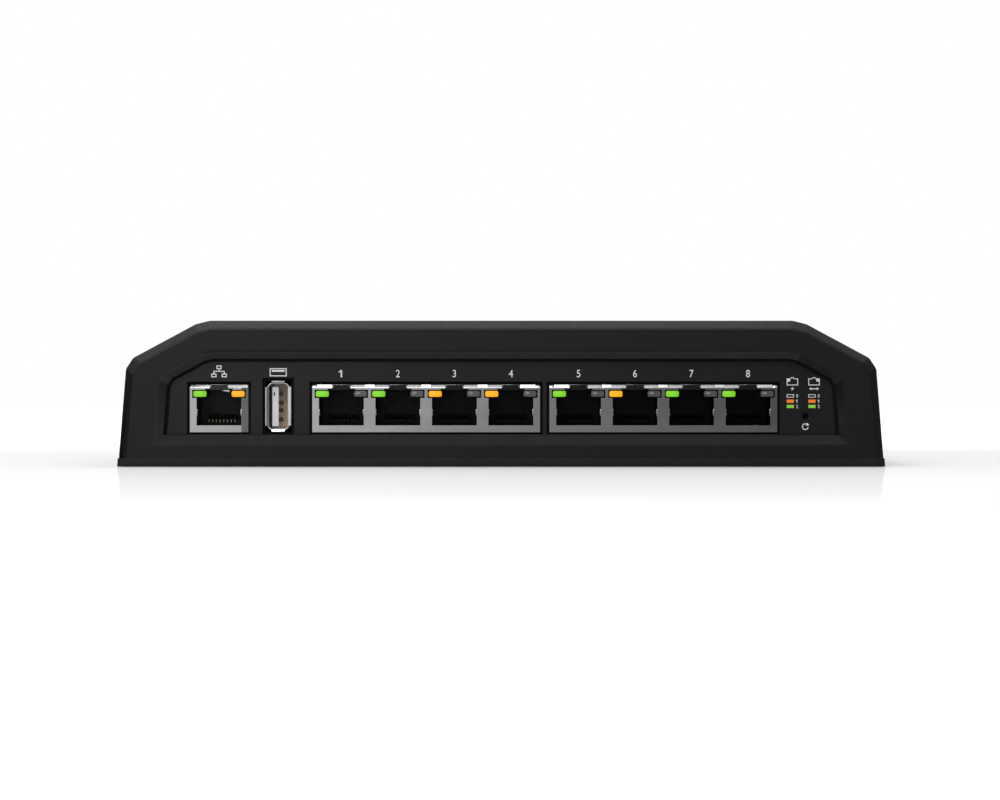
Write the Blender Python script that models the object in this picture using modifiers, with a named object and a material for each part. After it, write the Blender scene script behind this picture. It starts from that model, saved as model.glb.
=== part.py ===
"""Compact desktop network switch, built as the assembly it is on the bench.

A drafted hood with sloped shoulders stands on a base tray. Behind its front window sits the port panel with
a management jack, an upright USB socket and two banks of four shielded jacks. The main board, the power
board and the mains inlet fill the inside. Lengths are in metres, +Z is up and the ports face -Y.
"""

import math

import bmesh
import bpy
from mathutils import Matrix, Vector

# Clearances
FIT = 0.0003
OVERCUT = 0.001

# Jacks: port grid and shield
PORT_PITCH = 0.01524
PORTS_PER_BANK = 4
JACK_EDGE = 0.00785
JACK_HEIGHT = 0.01255
JACK_DEPTH = 0.025
JACK_PROUD = 0.0003
SHEET = 0.0004
SHIELD_FOLD = 0.0005

# Jacks: plug opening, latch notch and light pipes
OPENING_WIDTH = 0.0121
OPENING_HEIGHT = 0.0074
OPENING_SILL = 0.00185
CAVITY_DEPTH = 0.0125
INSERT_BACK = 0.0012
LATCH_WIDTH = 0.0049
LATCH_STEP = 0.0003
LED_WIDTH = 0.0035
LED_HEIGHT = 0.0016
LED_LEDGE = 0.00085
LED_DEPTH = 0.009
LED_CORNER = 0.0003

# Jacks: grounding springs at the sides of each opening
SPRING_HEIGHT = 0.002
SPRING_LENGTH = 0.004
SPRING_BULGE = 0.00035
SPRING_SHEET = 0.0003

# Jacks: spring contacts
CONTACTS = 8
CONTACT_PITCH = 0.00102
CONTACT_WIRE = 0.00036
CONTACT_LENGTH = 0.0105
CONTACT_LOW = 0.0006
CONTACT_HIGH = 0.0024

# USB socket, standing on edge
USB_HEIGHT = 0.0126
USB_THICKNESS = 0.0057
USB_DEPTH = 0.014
USB_SHEET = 0.0003
USB_LIP = 0.00065
USB_LIP_DEPTH = 0.0012
USB_CORNER = 0.0007
USB_NOTCH = 0.00105
USB_TONGUE = 0.0018
USB_TONGUE_LENGTH = 0.0088
USB_TONGUE_SIDE_GAP = 0.0005
USB_BACK = 0.003
USB_CONTACT_INNER = 0.001
USB_CONTACT_OUTER = 0.0035
USB_CONTACT_WIDTH = 0.001

# Reset switch behind its pinhole
PINHOLE_DIAMETER = 0.0019
PINHOLE_INSET = 0.0069
RESET_HEIGHT = 0.0047
RESET_BODY_WIDTH = 0.006
RESET_BODY_DEPTH = 0.0038
RESET_BODY_HEIGHT = 0.0074
RESET_BUTTON_DIAMETER = 0.0030
RESET_BUTTON_LENGTH = 0.0034
RESET_BUTTON_GAP = 0.0008
RESET_TRAVEL = 0.00025

# Port panel, spaces from left to right and from bottom to top
PANEL_THICKNESS = 0.0015
PANEL_LAP = 0.002
LEFT_MARGIN = 0.0062
JACK_TO_USB = 0.0032
USB_TO_BANK = 0.0043
BANK_TO_BANK = 0.00115
LEGEND_WIDTH = 0.0157
CUTOUT_GAP = 0.0007
PANEL_SILL = 0.0003
LABEL_STRIP = 0.00715

# Hood
WALL = 0.0022
END_WALL = 0.003
RAMP_WIDTH = 0.00205
RAMP_DEPTH = 0.0022
FRAME_TOP = 0.00835
FRAME_SHOULDER = 0.0079
FRAME_SIDE = 0.0097
FRAME_BOTTOM = 0.0025
SIDE_DRAFT = math.radians(4.6)
SHOULDER_SLOPE = math.radians(28.3)
SHOULDER_DROP = 0.011
CORNER_CUT = 0.002
WINDOW_CORNER_CUT = 0.0012
CHAMFER_WIDTH = 0.0022
CHAMFER_DEPTH = 0.0024

# Base tray, feet and case screws
FOOT_PROUD = 0.0003
FOOT_RECESS = 0.0006
FOOT_DIAMETER = 0.012
FOOT_INSET = 0.016
BASE_THICKNESS = 0.0019
BASE_FLARE = 0.0002
STANDOFF = 0.0051
BOSS_DIAMETER = 0.009
BOSS_INSET = 0.0063
HOOD_BOSS_DIAMETER = 0.007
SCREW_DIAMETER = 0.003
SCREW_HEAD_DIAMETER = 0.0056
SCREW_HEAD_HEIGHT = 0.002
SCREW_HEAD_RECESS = 0.0012
SCREW_BITE = 0.008
RIB_THICKNESS = 0.0015
RIB_HEIGHT = 0.0035
RIB_LENGTH = 0.040

# Wall-hanging slots and air slots
KEYHOLE_SPACING = 0.100
KEYHOLE_HEAD = 0.008
KEYHOLE_NECK = 0.004
KEYHOLE_LENGTH = 0.008
VENT_WIDTH = 0.002
VENT_PITCH = 0.005
BASE_VENTS = 16
BASE_VENT_LENGTH = 0.028
REAR_VENTS = 16
REAR_VENT_LENGTH = 0.016

# Boards
BOARD_THICKNESS = 0.0016
BOARD_MARGIN = 0.004
MAIN_BOARD_DEPTH = 0.078
POWER_BOARD_DEPTH = 0.070
BOARD_SPACING = 0.004
REAR_SPACING = 0.0032
SCREW_FROM_JACKS = 0.009
SCREW_FROM_REAR = 0.010

# Chips and the finned heatsink
CHIP_SIZE = 0.024
CHIP_HEIGHT = 0.0018
CHIP_X = -0.010
CHIP_FROM_JACKS = 0.026
HEATSINK_SIZE = 0.034
HEATSINK_BASE = 0.003
HEATSINK_HEIGHT = 0.013
HEATSINK_FINS = 9
FIN_THICKNESS = 0.0014
PROCESSOR_SIZE = 0.014
PROCESSOR_HEIGHT = 0.0012
PROCESSOR_SPACING = 0.004

# Power supply pieces on the power board
CORE_WIDTH = 0.030
CORE_DEPTH = 0.010
CORE_HEIGHT = 0.022
CORE_LIMB = 0.006
CORE_X = -0.012
CORE_FROM_FRONT = 0.030
BULK_DIAMETER = 0.018
BULK_LENGTH = 0.024
BULK_X = 0.020
BULK_FROM_FRONT = 0.018
OUTPUT_DIAMETER = 0.010
OUTPUT_LENGTH = 0.018
OUTPUT_FROM_END = 0.033
SINK_LENGTH = 0.040
SINK_HEIGHT = 0.022
SINK_PLATE = 0.0025
SINK_FLANGE = 0.009
SINK_X = -0.044
SINK_FROM_FRONT = 0.014
CHOKE_RING = 0.0065
CHOKE_TUBE = 0.0032
CHOKE_X = 0.054
CHOKE_FROM_FRONT = 0.020

# Mains inlet and its pins
INLET_X = 0.046
INLET_WIDTH = 0.0274
INLET_HEIGHT = 0.0198
INLET_DEPTH = 0.022
INLET_PROUD = 0.0006
SOCKET_WIDTH = 0.0244
SOCKET_HEIGHT = 0.0168
SOCKET_DEPTH = 0.0165
SOCKET_CORNER = 0.0046
PIN_WIDTH = 0.002
PIN_HEIGHT = 0.004
PIN_SPACING = 0.007
PIN_OFFSET = 0.002
PIN_RECESS = 0.005
PIN_TAIL = 0.0035

# DC harness between the boards
HARNESS_SPACING = 0.004
HARNESS_DIAMETER = 0.0036
HARNESS_RISE = 0.007
HARNESS_POINTS = 13
HEADER_WIDTH = 0.010
HEADER_DEPTH = 0.006
HEADER_HEIGHT = 0.008
HEADER_FROM_EDGE = 0.004

# Heights, worked up from the surface the feet stand on
BASE_BOTTOM = FOOT_PROUD
BASE_TOP = BASE_BOTTOM + BASE_THICKNESS
HOOD_BOTTOM = BASE_TOP + FIT
BOARD_BOTTOM = BASE_TOP + STANDOFF
BOARD_TOP = BOARD_BOTTOM + BOARD_THICKNESS
JACK_BOTTOM = BOARD_TOP + FIT
JACK_TOP = JACK_BOTTOM + JACK_HEIGHT
WINDOW_BOTTOM = JACK_BOTTOM - CUTOUT_GAP - PANEL_SILL
WINDOW_TOP = JACK_TOP + LABEL_STRIP
TOP_Z = WINDOW_TOP + RAMP_WIDTH + FRAME_TOP
SHOULDER_Z = TOP_Z - SHOULDER_DROP
USB_BOTTOM = JACK_BOTTOM + USB_LIP
RESET_Z = BOARD_TOP + RESET_HEIGHT

# Widths, worked out from the row of sockets
JACK_WIDTH = 2 * JACK_EDGE
BANK_WIDTH = JACK_WIDTH + (PORTS_PER_BANK - 1) * PORT_PITCH
USB_WIDTH = USB_THICKNESS + 2 * USB_LIP
WINDOW_WIDTH = (
    LEFT_MARGIN + JACK_WIDTH + JACK_TO_USB + USB_WIDTH + USB_TO_BANK
    + 2 * BANK_WIDTH + BANK_TO_BANK + LEGEND_WIDTH + 8 * CUTOUT_GAP
)
WINDOW_HALF = WINDOW_WIDTH / 2
MANAGEMENT_LEFT = -WINDOW_HALF + LEFT_MARGIN + CUTOUT_GAP
USB_LEFT = MANAGEMENT_LEFT + JACK_WIDTH + 2 * CUTOUT_GAP + JACK_TO_USB
BANK_A_LEFT = USB_LEFT + USB_WIDTH + 2 * CUTOUT_GAP + USB_TO_BANK
BANK_B_LEFT = BANK_A_LEFT + BANK_WIDTH + 2 * CUTOUT_GAP + BANK_TO_BANK
USB_X = USB_LEFT + USB_WIDTH / 2
RESET_X = BANK_B_LEFT + BANK_WIDTH + CUTOUT_GAP + PINHOLE_INSET
HALF_BASE = (
    WINDOW_HALF
    + (FRAME_SIDE + RAMP_WIDTH) / math.cos(SIDE_DRAFT)
    + (WINDOW_BOTTOM - BASE_BOTTOM) * math.tan(SIDE_DRAFT)
)
BOARD_HALF = WINDOW_HALF + BOARD_MARGIN

# Depths, worked back from the front face
DEPTH = (
    2 * (END_WALL + FIT + PANEL_THICKNESS + FIT)
    + MAIN_BOARD_DEPTH + BOARD_SPACING + POWER_BOARD_DEPTH + REAR_SPACING
)
FRONT = -DEPTH / 2
REAR = DEPTH / 2
PANEL_FRONT = FRONT + END_WALL + FIT
PANEL_BACK = PANEL_FRONT + PANEL_THICKNESS
JACK_FRONT = PANEL_FRONT - JACK_PROUD
JACK_BACK = JACK_FRONT + JACK_DEPTH
MAIN_FRONT = PANEL_BACK + FIT
MAIN_BACK = MAIN_FRONT + MAIN_BOARD_DEPTH
POWER_FRONT = MAIN_BACK + BOARD_SPACING
POWER_BACK = POWER_FRONT + POWER_BOARD_DEPTH
REAR_PANEL_OUT = REAR - END_WALL - FIT
REAR_PANEL_IN = REAR_PANEL_OUT - PANEL_THICKNESS
INLET_OUT = REAR_PANEL_OUT + INLET_PROUD
INLET_IN = INLET_OUT - INLET_DEPTH

# Harness beside the heatsink, processor beside the harness
HARNESS_X = CHIP_X - HEATSINK_SIZE / 2 - HARNESS_SPACING - HEADER_WIDTH / 2
PROCESSOR_X = HARNESS_X - HEADER_WIDTH / 2 - PROCESSOR_SPACING - PROCESSOR_SIZE / 2

# Output capacitor near the left end of the power board
OUTPUT_X = -BOARD_HALF + OUTPUT_FROM_END

# Screw posts, under the flat of the hood
SHOULDER_HALF = HALF_BASE - (SHOULDER_Z - BASE_BOTTOM) * math.tan(SIDE_DRAFT)
FLAT_HALF = SHOULDER_HALF - SHOULDER_DROP / math.tan(SHOULDER_SLOPE)
BOSS_X = FLAT_HALF - BOSS_INSET
FRONT_BOSS_Y = JACK_BACK + SCREW_FROM_JACKS
REAR_BOSS_Y = POWER_BACK - SCREW_FROM_REAR
FRONT_POST_Y = MAIN_FRONT + SCREW_FROM_REAR
MIDDLE_POST_Y = POWER_FRONT + SCREW_FROM_REAR
SCREW_SPOTS = {
    "front_left": (-BOSS_X, FRONT_BOSS_Y),
    "front_right": (BOSS_X, FRONT_BOSS_Y),
    "rear_left": (-BOSS_X, REAR_BOSS_Y),
    "rear_right": (BOSS_X, REAR_BOSS_Y),
}
FOOT_SPOTS = {
    "front_left": (-HALF_BASE + FOOT_INSET, FRONT + FOOT_INSET),
    "front_right": (HALF_BASE - FOOT_INSET, FRONT + FOOT_INSET),
    "rear_left": (-HALF_BASE + FOOT_INSET, REAR - FOOT_INSET),
    "rear_right": (HALF_BASE - FOOT_INSET, REAR - FOOT_INSET),
}

# Colour, roughness and metallic value of each finish
FINISHES = {
    "black_moulding": ((0.018, 0.018, 0.019), 0.55, 0.0),
    "black_rubber": ((0.012, 0.012, 0.012), 0.85, 0.0),
    "jack_plastic": ((0.010, 0.010, 0.011), 0.45, 0.0),
    "tinned_sheet": ((0.62, 0.62, 0.63), 0.30, 1.0),
    "screw_steel": ((0.35, 0.35, 0.36), 0.35, 1.0),
    "light_pipe_green": ((0.22, 0.72, 0.05), 0.25, 0.0),
    "light_pipe_amber": ((0.90, 0.33, 0.02), 0.25, 0.0),
    "light_pipe_clear": ((0.22, 0.22, 0.22), 0.25, 0.0),
    "usb_plastic": ((0.80, 0.79, 0.76), 0.40, 0.0),
    "circuit_board": ((0.010, 0.065, 0.028), 0.45, 0.0),
    "chip_epoxy": ((0.015, 0.015, 0.016), 0.50, 0.0),
    "black_anodised": ((0.030, 0.030, 0.032), 0.40, 0.9),
    "ferrite": ((0.045, 0.045, 0.050), 0.60, 0.0),
    "copper_winding": ((0.55, 0.26, 0.08), 0.40, 0.6),
    "capacitor_sleeve": ((0.015, 0.020, 0.060), 0.35, 0.0),
    "cable_sheath": ((0.020, 0.020, 0.020), 0.60, 0.0),
    "button_plastic": ((0.030, 0.030, 0.032), 0.45, 0.0),
}

# Colours of the left light pipes, ports 1 to 8
PORT_LIGHTS = ("green", "green", "amber", "amber", "green", "amber", "green", "green")


def start_scene():
    """Empty the scene and make the two collections and the parent empty."""
    for obj in list(bpy.data.objects):
        bpy.data.objects.remove(obj, do_unlink=True)
    collections = []
    for name in ("network_switch", "network_switch_cutters"):
        collection = bpy.data.collections.new(name)
        bpy.context.scene.collection.children.link(collection)
        collections.append(collection)
    root = bpy.data.objects.new("network_switch_origin", None)
    collections[0].objects.link(root)
    return collections[0], collections[1], root


PARTS, CUTTERS, ROOT = start_scene()


def finish_material(name):
    """Principled material for one finish, made once."""
    if name in bpy.data.materials:
        return bpy.data.materials[name]
    colour, roughness, metallic = FINISHES[name]
    material = bpy.data.materials.new(name)
    material.use_nodes = True
    shader = material.node_tree.nodes["Principled BSDF"]
    shader.inputs["Base Color"].default_value = (*colour, 1.0)
    shader.inputs["Roughness"].default_value = roughness
    shader.inputs["Metallic"].default_value = metallic
    return material


def add_box(bm, low, high):
    """Box between two corners."""
    low = Vector(low)
    size = Vector(high) - low
    place = Matrix.Translation(low + size / 2) @ Matrix.Diagonal((*size, 1.0))
    bmesh.ops.create_cube(bm, size=1.0, matrix=place)


def add_rod(bm, axis, centre, radius, start, end, segments=24):
    """Cylinder along an axis letter, between two coordinates on it."""
    turns = {
        "X": Matrix.Rotation(math.pi / 2, 4, "Y"),
        "Y": Matrix.Rotation(math.pi / 2, 4, "X"),
        "Z": Matrix.Identity(4),
    }
    middle = list(centre)
    middle.insert("XYZ".index(axis), (start + end) / 2)
    bmesh.ops.create_cone(
        bm, cap_ends=True, segments=segments, radius1=radius, radius2=radius,
        depth=abs(end - start), matrix=Matrix.Translation(middle) @ turns[axis],
    )


def add_prism(bm, points, axis, start, end):
    """Straight solid over a flat outline, along an axis letter."""
    slot = "XYZ".index(axis)
    corners = []
    for pair in points:
        corner = list(pair)
        corner.insert(slot, start)
        corners.append(bm.verts.new(corner))
    face = bm.faces.new(corners)
    run = Vector((0.0, 0.0, 0.0))
    run[slot] = end - start
    grown = bmesh.ops.extrude_face_region(bm, geom=[face], use_keep_orig=True)
    moved = [item for item in grown["geom"] if isinstance(item, bmesh.types.BMVert)]
    bmesh.ops.translate(bm, vec=run, verts=moved)


def add_loft(bm, rings):
    """Solid through rings of points, all with the same count."""
    loops = [[bm.verts.new(point) for point in ring] for ring in rings]
    count = len(loops[0])
    for near, far in zip(loops, loops[1:]):
        for i in range(count):
            j = (i + 1) % count
            bm.faces.new((near[i], near[j], far[j], far[i]))
    bm.faces.new(loops[0])
    bm.faces.new(loops[-1])


def make_mesh(name, bm):
    """Mesh from a bmesh, with its faces turned outwards."""
    bmesh.ops.recalc_face_normals(bm, faces=bm.faces)
    mesh = bpy.data.meshes.new(name)
    bm.to_mesh(mesh)
    bm.free()
    mesh.shade_smooth()
    mesh.set_sharp_from_angle(angle=math.radians(35))
    return mesh


def add_part(name, mesh, finish, location=(0.0, 0.0, 0.0), rotation=(0.0, 0.0, 0.0)):
    """Named sub-part with its finish, placed under the parent empty."""
    obj = bpy.data.objects.new(name, mesh)
    obj.location = location
    obj.rotation_euler = rotation
    obj.parent = ROOT
    if not mesh.materials:
        mesh.materials.append(finish_material(finish))
    PARTS.objects.link(obj)
    return obj


def add_boolean(obj, label, bm, operation):
    """Cut away or fuse the shapes held in a bmesh."""
    name = f"{obj.name}_{label}"
    tool = bpy.data.objects.new(name, make_mesh(name, bm))
    tool.hide_render = True
    tool.display_type = "WIRE"
    CUTTERS.objects.link(tool)
    modifier = obj.modifiers.new(label, "BOOLEAN")
    modifier.operation = operation
    modifier.solver = "EXACT"
    modifier.object = tool


def cut(obj, label, bm):
    add_boolean(obj, label, bm, "DIFFERENCE")


def fuse(obj, label, bm):
    add_boolean(obj, label, bm, "UNION")


def turned_mesh(name, profile):
    """Open half profile, listed top to bottom as (radius, height)."""
    bm = bmesh.new()
    points = [bm.verts.new((radius, 0.0, height)) for radius, height in profile]
    for upper, lower in zip(points, points[1:]):
        bm.edges.new((upper, lower))
    mesh = bpy.data.meshes.new(name)
    bm.to_mesh(mesh)
    bm.free()
    return mesh


def add_turned(name, mesh, finish, location, rotation=(0.0, 0.0, 0.0), steps=24):
    """Turned piece: a half profile swept round its own Z axis."""
    obj = add_part(name, mesh, finish, location, rotation)
    modifier = obj.modifiers.new("turn", "SCREW")
    modifier.axis = "Z"
    modifier.angle = 2 * math.pi
    modifier.steps = steps
    modifier.render_steps = steps
    modifier.use_merge_vertices = True
    modifier.merge_threshold = 0.00001
    modifier.use_smooth_shade = False
    return obj


def side_x(z):
    """Half-width of the drafted side at a height."""
    return HALF_BASE - (z - BASE_BOTTOM) * math.tan(SIDE_DRAFT)


def meet(line_a, line_b):
    """Point where two lines cross, each given as (normal x, normal z, distance)."""
    ax, az, ad = line_a
    bx, bz, bd = line_b
    spread = ax * bz - az * bx
    return ((ad * bz - az * bd) / spread, (ax * bd - ad * bx) / spread)


def cut_corner(before, corner, after, size):
    """The two points that take a corner off an outline."""
    corner = Vector(corner)
    towards_before = (Vector(before) - corner).normalized()
    towards_after = (Vector(after) - corner).normalized()
    return [tuple(corner + towards_before * size), tuple(corner + towards_after * size)]


def outline(bottom, side, shoulder, top, corner):
    """Housing outline as (x, z) points, moved in from the side, shoulder and top faces."""
    def line(angle, inset):
        normal = (math.cos(angle), math.sin(angle))
        return (*normal, SHOULDER_HALF * normal[0] + SHOULDER_Z * normal[1] - inset)

    side_line = line(SIDE_DRAFT, side)
    shoulder_line = line(math.pi / 2 - SHOULDER_SLOPE, shoulder)
    top_line = (0.0, 1.0, TOP_Z - top)
    foot = meet((0.0, 1.0, bottom), side_line)
    low = meet(side_line, shoulder_line)
    high = meet(shoulder_line, top_line)
    half = [foot]
    half += cut_corner(foot, low, high, corner)
    half += cut_corner(low, high, (0.0, TOP_Z - top), corner)
    return mirrored(half)


def ring_at(points, y):
    """Outline points stood up at a depth."""
    return [(x, y, z) for x, z in points]


def mirrored(half):
    """Closed outline from its right half, listed from bottom to top."""
    return half + [(-x, z) for x, z in reversed(half)]


def hood():
    """Top shell: front, top, shoulders, sides and rear in one drafted moulding."""
    bm = bmesh.new()
    inset = outline(HOOD_BOTTOM, CHAMFER_WIDTH, CHAMFER_WIDTH, CHAMFER_WIDTH, CORNER_CUT)
    full = outline(HOOD_BOTTOM, 0.0, 0.0, 0.0, CORNER_CUT)
    add_loft(bm, [
        ring_at(inset, FRONT),
        ring_at(full, FRONT + CHAMFER_DEPTH),
        ring_at(full, REAR - CHAMFER_DEPTH),
        ring_at(inset, REAR),
    ])
    shell = add_part("top_shell", make_mesh("top_shell", bm), "black_moulding")

    bm = bmesh.new()
    inside = outline(HOOD_BOTTOM - OVERCUT, WALL, WALL, WALL, CORNER_CUT)
    add_loft(bm, [ring_at(inside, FRONT + END_WALL), ring_at(inside, REAR - END_WALL)])
    cut(shell, "inside", bm)

    bm = bmesh.new()
    pocket = outline(
        WINDOW_BOTTOM - FRAME_BOTTOM, FRAME_SIDE, FRAME_SHOULDER, FRAME_TOP, WINDOW_CORNER_CUT)
    window = outline(
        WINDOW_BOTTOM, FRAME_SIDE + RAMP_WIDTH, FRAME_SHOULDER + RAMP_WIDTH, FRAME_TOP + RAMP_WIDTH,
        WINDOW_CORNER_CUT)
    add_loft(bm, [
        ring_at(pocket, FRONT - OVERCUT),
        ring_at(pocket, FRONT),
        ring_at(window, FRONT + RAMP_DEPTH),
        ring_at(window, FRONT + END_WALL + OVERCUT),
    ])
    add_loft(bm, [ring_at(pocket, REAR - END_WALL - OVERCUT), ring_at(pocket, REAR + OVERCUT)])
    cut(shell, "windows", bm)

    bm = bmesh.new()
    for x, y in SCREW_SPOTS.values():
        add_rod(bm, "Z", (x, y), HOOD_BOSS_DIAMETER / 2, BOARD_TOP + FIT, TOP_Z - WALL / 2)
    fuse(shell, "bosses", bm)

    bm = bmesh.new()
    pilot_top = BOARD_TOP + SCREW_BITE + 2 * FIT
    for x, y in SCREW_SPOTS.values():
        add_rod(bm, "Z", (x, y), SCREW_DIAMETER / 2 + FIT, BOARD_TOP - OVERCUT, pilot_top, 16)
    cut(shell, "pilot_holes", bm)


def base_tray():
    """Base plate with its proud edge, screw posts, ribs, hanging slots and air slots."""
    def plan(z):
        half = side_x(z) + BASE_FLARE
        near = FRONT - BASE_FLARE
        far = REAR + BASE_FLARE
        slim = half - CHAMFER_WIDTH
        back = CHAMFER_DEPTH
        right = [(slim, near), (half, near + back), (half, far - back), (slim, far)]
        return [(x, y, z) for x, y in mirrored(right)]

    bm = bmesh.new()
    add_loft(bm, [plan(BASE_BOTTOM), plan(BASE_TOP)])
    tray = add_part("base_tray", make_mesh("base_tray", bm), "black_moulding")

    bm = bmesh.new()
    sunk = BASE_TOP - BASE_THICKNESS / 2
    posts = list(SCREW_SPOTS.values())
    posts += [(side * BOSS_X, y) for side in (-1, 1) for y in (FRONT_POST_Y, MIDDLE_POST_Y)]
    for x, y in posts:
        add_rod(bm, "Z", (x, y), BOSS_DIAMETER / 2, sunk, BOARD_BOTTOM - FIT)
    rib_top = BASE_TOP + RIB_HEIGHT
    for x in (-BOSS_X / 2, BOSS_X / 2):
        for y in (PANEL_BACK + FIT, REAR_PANEL_IN - FIT - RIB_THICKNESS):
            add_box(bm, (x - RIB_LENGTH / 2, y, sunk), (x + RIB_LENGTH / 2, y + RIB_THICKNESS, rib_top))
    rib_x = side_x(rib_top) - WALL / math.cos(SIDE_DRAFT) - FIT
    for y in (FRONT_BOSS_Y, MIDDLE_POST_Y + RIB_LENGTH):
        for side in (-1, 1):
            near = min(side * rib_x, side * (rib_x - RIB_THICKNESS))
            add_box(bm, (near, y - RIB_LENGTH / 2, sunk), (near + RIB_THICKNESS, y + RIB_LENGTH / 2, rib_top))
    fuse(tray, "posts_and_ribs", bm)

    bm = bmesh.new()
    head_seat = BASE_BOTTOM + SCREW_HEAD_RECESS + SCREW_HEAD_HEIGHT + FIT
    for x, y in SCREW_SPOTS.values():
        add_rod(bm, "Z", (x, y), SCREW_HEAD_DIAMETER / 2 + FIT, BASE_BOTTOM - OVERCUT, head_seat)
    cut(tray, "head_recesses", bm)

    bm = bmesh.new()
    below = BASE_BOTTOM - OVERCUT
    for x, y in SCREW_SPOTS.values():
        add_rod(bm, "Z", (x, y), SCREW_DIAMETER / 2 + FIT, below, BOARD_BOTTOM + OVERCUT, 16)
    for x, y in FOOT_SPOTS.values():
        add_rod(bm, "Z", (x, y), FOOT_DIAMETER / 2 + FIT, below, BASE_BOTTOM + FOOT_RECESS, 32)
    cut(tray, "holes_and_foot_seats", bm)

    bm = bmesh.new()
    through = (BASE_BOTTOM - OVERCUT, BASE_TOP + OVERCUT)
    first = -(BASE_VENTS - 1) / 2 * VENT_PITCH
    for middle in (FRONT / 2, REAR / 2):
        for i in range(BASE_VENTS):
            x = first + i * VENT_PITCH
            add_box(
                bm,
                (x - VENT_WIDTH / 2, middle - BASE_VENT_LENGTH / 2, through[0]),
                (x + VENT_WIDTH / 2, middle + BASE_VENT_LENGTH / 2, through[1]),
            )
    for side in (-1, 1):
        x = side * KEYHOLE_SPACING / 2
        add_prism(bm, keyhole(x, 0.0), "Z", *through)
    cut(tray, "slots", bm)


def keyhole(x, y):
    """Hanging slot outline: a round head with a narrow neck towards the rear."""
    neck = math.asin(KEYHOLE_NECK / KEYHOLE_HEAD)
    steps = 14
    points = []
    for i in range(steps + 1):
        angle = math.pi / 2 + neck + (2 * math.pi - 2 * neck) * i / steps
        points.append((x + KEYHOLE_HEAD / 2 * math.cos(angle), y + KEYHOLE_HEAD / 2 * math.sin(angle)))
    for i in range(steps // 2 + 1):
        angle = math.pi * i / (steps // 2)
        points.append((
            x + KEYHOLE_NECK / 2 * math.cos(angle),
            y + KEYHOLE_LENGTH + KEYHOLE_NECK / 2 * math.sin(angle),
        ))
    return points


def feet_and_screws():
    """Rubber feet in their seats and the long screws that clamp the case."""
    radius = FOOT_DIAMETER / 2
    height = FOOT_PROUD + FOOT_RECESS - FIT
    edge = FOOT_PROUD / 2
    foot = turned_mesh("foot", [
        (0.0, height), (radius, height), (radius, edge), (radius - edge, 0.0), (0.0, 0.0),
    ])
    for spot, (x, y) in FOOT_SPOTS.items():
        add_turned(f"foot_{spot}", foot, "black_rubber", (x, y, 0.0), steps=32)

    tip = BOARD_TOP + SCREW_BITE
    seat = BASE_BOTTOM + SCREW_HEAD_RECESS + SCREW_HEAD_HEIGHT
    shank = SCREW_DIAMETER / 2
    head = SCREW_HEAD_DIAMETER / 2
    crown = SCREW_HEAD_HEIGHT / 3
    screw = turned_mesh("case_screw", [
        (0.0, tip), (shank / 2, tip), (shank, tip - shank), (shank, seat), (head, seat),
        (head, seat - SCREW_HEAD_HEIGHT + crown), (head - crown, seat - SCREW_HEAD_HEIGHT),
        (0.0, seat - SCREW_HEAD_HEIGHT),
    ])
    for spot, (x, y) in SCREW_SPOTS.items():
        add_turned(f"case_screw_{spot}", screw, "screw_steel", (x, y, 0.0), steps=16)


def port_panel():
    """Recessed faceplate that stands on the tray behind the front window."""
    bm = bmesh.new()
    reach = RAMP_WIDTH - PANEL_LAP
    plate = outline(
        BASE_TOP + FIT, FRAME_SIDE + reach, FRAME_SHOULDER + reach, FRAME_TOP + reach, WINDOW_CORNER_CUT)
    add_prism(bm, plate, "Y", PANEL_FRONT, PANEL_BACK)
    panel = add_part("port_panel", make_mesh("port_panel", bm), "black_moulding")

    bm = bmesh.new()
    near = PANEL_FRONT - OVERCUT
    far = PANEL_BACK + OVERCUT
    for left, width in (
        (MANAGEMENT_LEFT, JACK_WIDTH), (BANK_A_LEFT, BANK_WIDTH), (BANK_B_LEFT, BANK_WIDTH),
    ):
        add_box(
            bm,
            (left - CUTOUT_GAP, near, JACK_BOTTOM - CUTOUT_GAP),
            (left + width + CUTOUT_GAP, far, JACK_TOP + CUTOUT_GAP),
        )
    add_box(
        bm,
        (USB_LEFT - CUTOUT_GAP, near, USB_BOTTOM - USB_LIP - CUTOUT_GAP),
        (USB_LEFT + USB_WIDTH + CUTOUT_GAP, far, USB_BOTTOM + USB_HEIGHT + USB_LIP + CUTOUT_GAP),
    )
    add_rod(bm, "Y", (RESET_X, RESET_Z), PINHOLE_DIAMETER / 2, near, far, 20)
    cut(panel, "cutouts", bm)


def rear_panel():
    """Rear plate with the inlet opening and a row of air slots."""
    bm = bmesh.new()
    reach = FIT - PANEL_LAP
    plate = outline(
        BASE_TOP + FIT, FRAME_SIDE + reach, FRAME_SHOULDER + reach, FRAME_TOP + reach, WINDOW_CORNER_CUT)
    add_prism(bm, plate, "Y", REAR_PANEL_IN, REAR_PANEL_OUT)
    panel = add_part("rear_panel", make_mesh("rear_panel", bm), "black_moulding")

    bm = bmesh.new()
    near = REAR_PANEL_IN - OVERCUT
    far = REAR_PANEL_OUT + OVERCUT
    half = INLET_WIDTH / 2 + FIT
    bottom = JACK_BOTTOM - FIT
    add_box(bm, (INLET_X - half, near, bottom), (INLET_X + half, far, bottom + INLET_HEIGHT + 2 * FIT))
    middle = JACK_BOTTOM + INLET_HEIGHT / 2
    last = INLET_X - half - VENT_PITCH - VENT_WIDTH
    for i in range(REAR_VENTS):
        x = last - i * VENT_PITCH
        add_box(
            bm,
            (x - VENT_WIDTH / 2, near, middle - REAR_VENT_LENGTH / 2),
            (x + VENT_WIDTH / 2, far, middle + REAR_VENT_LENGTH / 2),
        )
    cut(panel, "openings", bm)


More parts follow.
